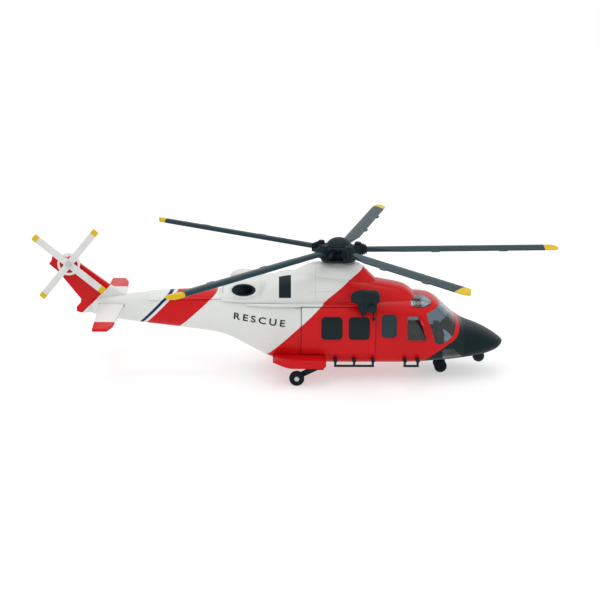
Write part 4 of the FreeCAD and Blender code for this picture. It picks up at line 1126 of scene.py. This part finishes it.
@dataclass
class Wheel:
    """One wheel: a tyre with a tread shoulder and a dished hub; in millimetres."""

    node: str
    body: str
    radius: float
    half_width: float
    hub: float

    def build(self, tyre: bpy.types.Material, hub: bpy.types.Material) -> None:
        """Build the wheel where its node is.

        Args:
            tyre: The rubber.
            hub: The hub's finish.
        """
        low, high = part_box(self.node)
        middle = [(a + b) / 2 / MM for a, b in zip(low, high)]
        w, r = self.half_width, self.radius
        rubber = Forge.turned(
            [(self.hub, -w + 0.45), (self.hub + 0.35, -w + 0.1), (r * 0.72, -w),
             (r * 0.88, -w + 0.15), (r * 0.97, -w + 0.55), (r, -w * 0.45), (r, -0.12),
             (r * 0.985, -0.1), (r * 0.985, 0.1), (r, 0.12), (r, w * 0.45),
             (r * 0.97, w - 0.55), (r * 0.88, w - 0.15), (r * 0.72, w),
             (self.hub + 0.35, w - 0.1), (self.hub, w - 0.45)],
            tuple(middle), (0.0, 1.0, 0.0), 56,
        )
        disc = Forge.turned(
            [(self.hub * 0.45, -w + 0.1), (self.hub * 0.6, -w + 0.02), (self.hub * 0.66, -w + 0.3),
             (self.hub * 0.95, -w + 0.3), (self.hub, -w + 0.5), (self.hub, w - 0.5),
             (self.hub * 0.95, w - 0.3), (self.hub * 0.66, w - 0.3), (self.hub * 0.6, w - 0.02),
             (self.hub * 0.45, w - 0.1)],
            tuple(middle), (0.0, 1.0, 0.0), 36,
        )
        Forge.finish(rubber, self.node + "_tyre", tyre, "tyre_black", self.body)
        Forge.finish(disc, self.node + "_hub", hub, "white_plastic", self.body)
        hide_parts(self.node)


@dataclass
class RoundedParts:
    """CAD solids whose moulded edges are rounded: the widths are in millimetres."""

    widths: tuple[tuple[str, float], ...] = (
        ("sponson_{}", 0.7),
        ("pilot_seat_{}", 0.9),
        ("rear_bench", 0.9),
        ("front_bench", 0.9),
        ("instrument_panel", 0.8),
        ("tailplane", 0.4),
        ("tail_fin", 0.45),
        ("main_gear_leg_{}", 0.25),
        ("tail_rotor", 0.2),
    )

    def build(self, frame: dict, finishes: dict[str, bpy.types.Material]) -> None:
        """Round them.

        Args:
            finishes: Each node's finish.
        """
        slots = {part["node"]: part["material_slot"] for part in frame["record"]["subparts"]}
        for pattern, width in self.widths:
            names = [pattern.format(side.word) for side in Side] if "{" in pattern else [pattern]
            for node in names:
                piece = Forge.softened(frame, node, width)
                body = "tail_rotor_body" if node == "tail_rotor" else "fuselage"
                Forge.finish(piece, node + "_moulding", finishes[node], slots[node], body)
                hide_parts(node)


@dataclass
class Studio:
    """A pale floor, soft lights and the camera, from the angle a buyer would see."""

    floor_level: float = -0.010
    floor_size: float = 14.0
    aim: Point = (-0.0264, 0.0, 0.0375)
    distance: float = 0.9086
    swing: float = math.radians(-1.34)
    elevation: float = math.radians(15.9)
    roll: float = math.radians(0.56)
    lens: float = 84.35
    floor_tone: float = 0.55
    floor_glow: float = 0.46
    surround_glow: float = 0.98
    lamps: tuple[tuple[str, Point, float, float], ...] = (
        ("key", (-0.5, -0.9, 1.7), 0.8, 4.0),
        ("fill", (0.9, -1.0, 0.6), 0.9, 0.4),
        ("top", (0.1, 0.3, 1.6), 0.8, 4.0),
    )

    def floor(self) -> None:
        """Lay the floor."""
        bpy.ops.mesh.primitive_plane_add(
            size=self.floor_size, location=(0.0, 0.0, self.floor_level)
        )
        floor = bpy.context.object
        floor.name = "studio_floor"
        board = NodeBoard("studio floor")
        board.set(Base_Color=(*(self.floor_tone,) * 3, 1.0), Roughness=0.95)
        board.shader.inputs["Emission Color"].default_value = (1.0, 1.0, 1.0, 1.0)
        board.shader.inputs["Emission Strength"].default_value = self.floor_glow
        board.shader.inputs["Specular IOR Level"].default_value = 0.0
        floor.data.materials.append(board.material)

    def lamp(self, name: str, place: Point, size: float, power: float) -> None:
        """Hang one square soft light that faces the model.

        Args:
            name: The light's name.
            place: Where it hangs.
            size: Its side.
            power: Its power in watts.
        """
        light = bpy.data.lights.new(name, "AREA")
        light.size = size
        light.energy = power
        lamp = bpy.data.objects.new(name, light)
        bpy.context.collection.objects.link(lamp)
        lamp.location = place
        towards = Vector(self.aim) - Vector(place)
        lamp.rotation_euler = towards.to_track_quat("-Z", "Y").to_euler()

    def lights(self) -> None:
        """Hang the lights and set the pale surround."""
        world = bpy.data.worlds.new("pale surround")
        bpy.context.scene.world = world
        world.use_nodes = True
        backdrop = world.node_tree.nodes["Background"]
        backdrop.inputs["Color"].default_value = (1.0, 1.0, 1.0, 1.0)
        backdrop.inputs["Strength"].default_value = self.surround_glow
        for lamp in self.lamps:
            self.lamp(*lamp)

    def camera(self) -> None:
        """Set up the camera."""
        data = bpy.data.cameras.new("camera")
        data.lens = self.lens
        data.sensor_width = 36.0
        data.clip_start = 0.01
        camera = bpy.data.objects.new("camera", data)
        bpy.context.collection.objects.link(camera)
        ahead = Vector((
            -math.sin(self.swing) * math.cos(self.elevation),
            math.cos(self.swing) * math.cos(self.elevation),
            -math.sin(self.elevation),
        ))
        level = Vector((math.cos(self.swing), math.sin(self.swing), 0.0))
        over = level.cross(ahead)
        right = level * math.cos(self.roll) + over * math.sin(self.roll)
        up = over * math.cos(self.roll) - level * math.sin(self.roll)
        turn = Matrix((right, up, -ahead)).transposed()
        camera.rotation_euler = turn.to_euler()
        camera.location = Vector(self.aim) - ahead * self.distance
        bpy.context.scene.camera = camera

    def build(self) -> None:
        """Set the whole studio."""
        self.floor()
        self.lights()
        self.camera()
        bpy.context.scene.view_settings.view_transform = "Standard"


def main() -> None:
    """Dress the model and set the studio."""
    logging.basicConfig(level=logging.INFO, format="%(message)s")
    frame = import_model()
    bpy.ops.object.select_all(action="DESELECT")
    paints = Paintbox()
    finishes = paints.dress(frame)
    black = paints.slots["satin_black"]
    RotorHead().build(black)
    Winch().build(black)
    Lettering().build(frame, black)
    ExhaustShroud().build(paints.slots["painted_red_white"])
    rims = (
        WindowRim(
            "door_rear_window_rim", "sliding_door_{}", "door_{}",
            ((-13.3, 18.3), (0.2, 18.3), (0.2, 32.9), (-13.3, 32.9)),
        ),
        WindowRim(
            "door_front_window_rim", "sliding_door_{}", "door_{}",
            ((4.0, 18.3), (17.5, 18.3), (17.5, 32.9), (4.0, 32.9)),
        ),
        WindowRim(
            "cabin_window_rim", "lower_fuselage_shell", "fuselage",
            ((24.9, 19.3), (34.8, 19.3), (34.8, 34.2), (24.9, 34.2)),
        ),
        WindowRim(
            "cockpit_window_rim", "lower_fuselage_shell", "fuselage",
            ((41.6, 17.7), (54.1, 17.6), (49.4, 32.9), (41.4, 32.9)), 1.3, 0.8,
        ),
    )
    for rim in rims:
        rim.build(frame, finishes["sponson_starboard"])
    hub = MouldedPlastic("pale hub", (0.42, 0.45, 0.46), 0.35).material()
    for side in Side:
        Wheel(
            "main_wheel_" + side.word, "wheel_" + side.word, 4.8, 1.6, 1.9
        ).build(paints.slots["tyre_black"], hub)
        Wheel(
            "nose_wheel_" + side.word, "nose_wheel_pair", 4.1, 1.2, 1.3
        ).build(paints.slots["tyre_black"], black)
    RoundedParts().build(frame, finishes)
    Studio().build()
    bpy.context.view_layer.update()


if __name__ == "__main__":
    main()
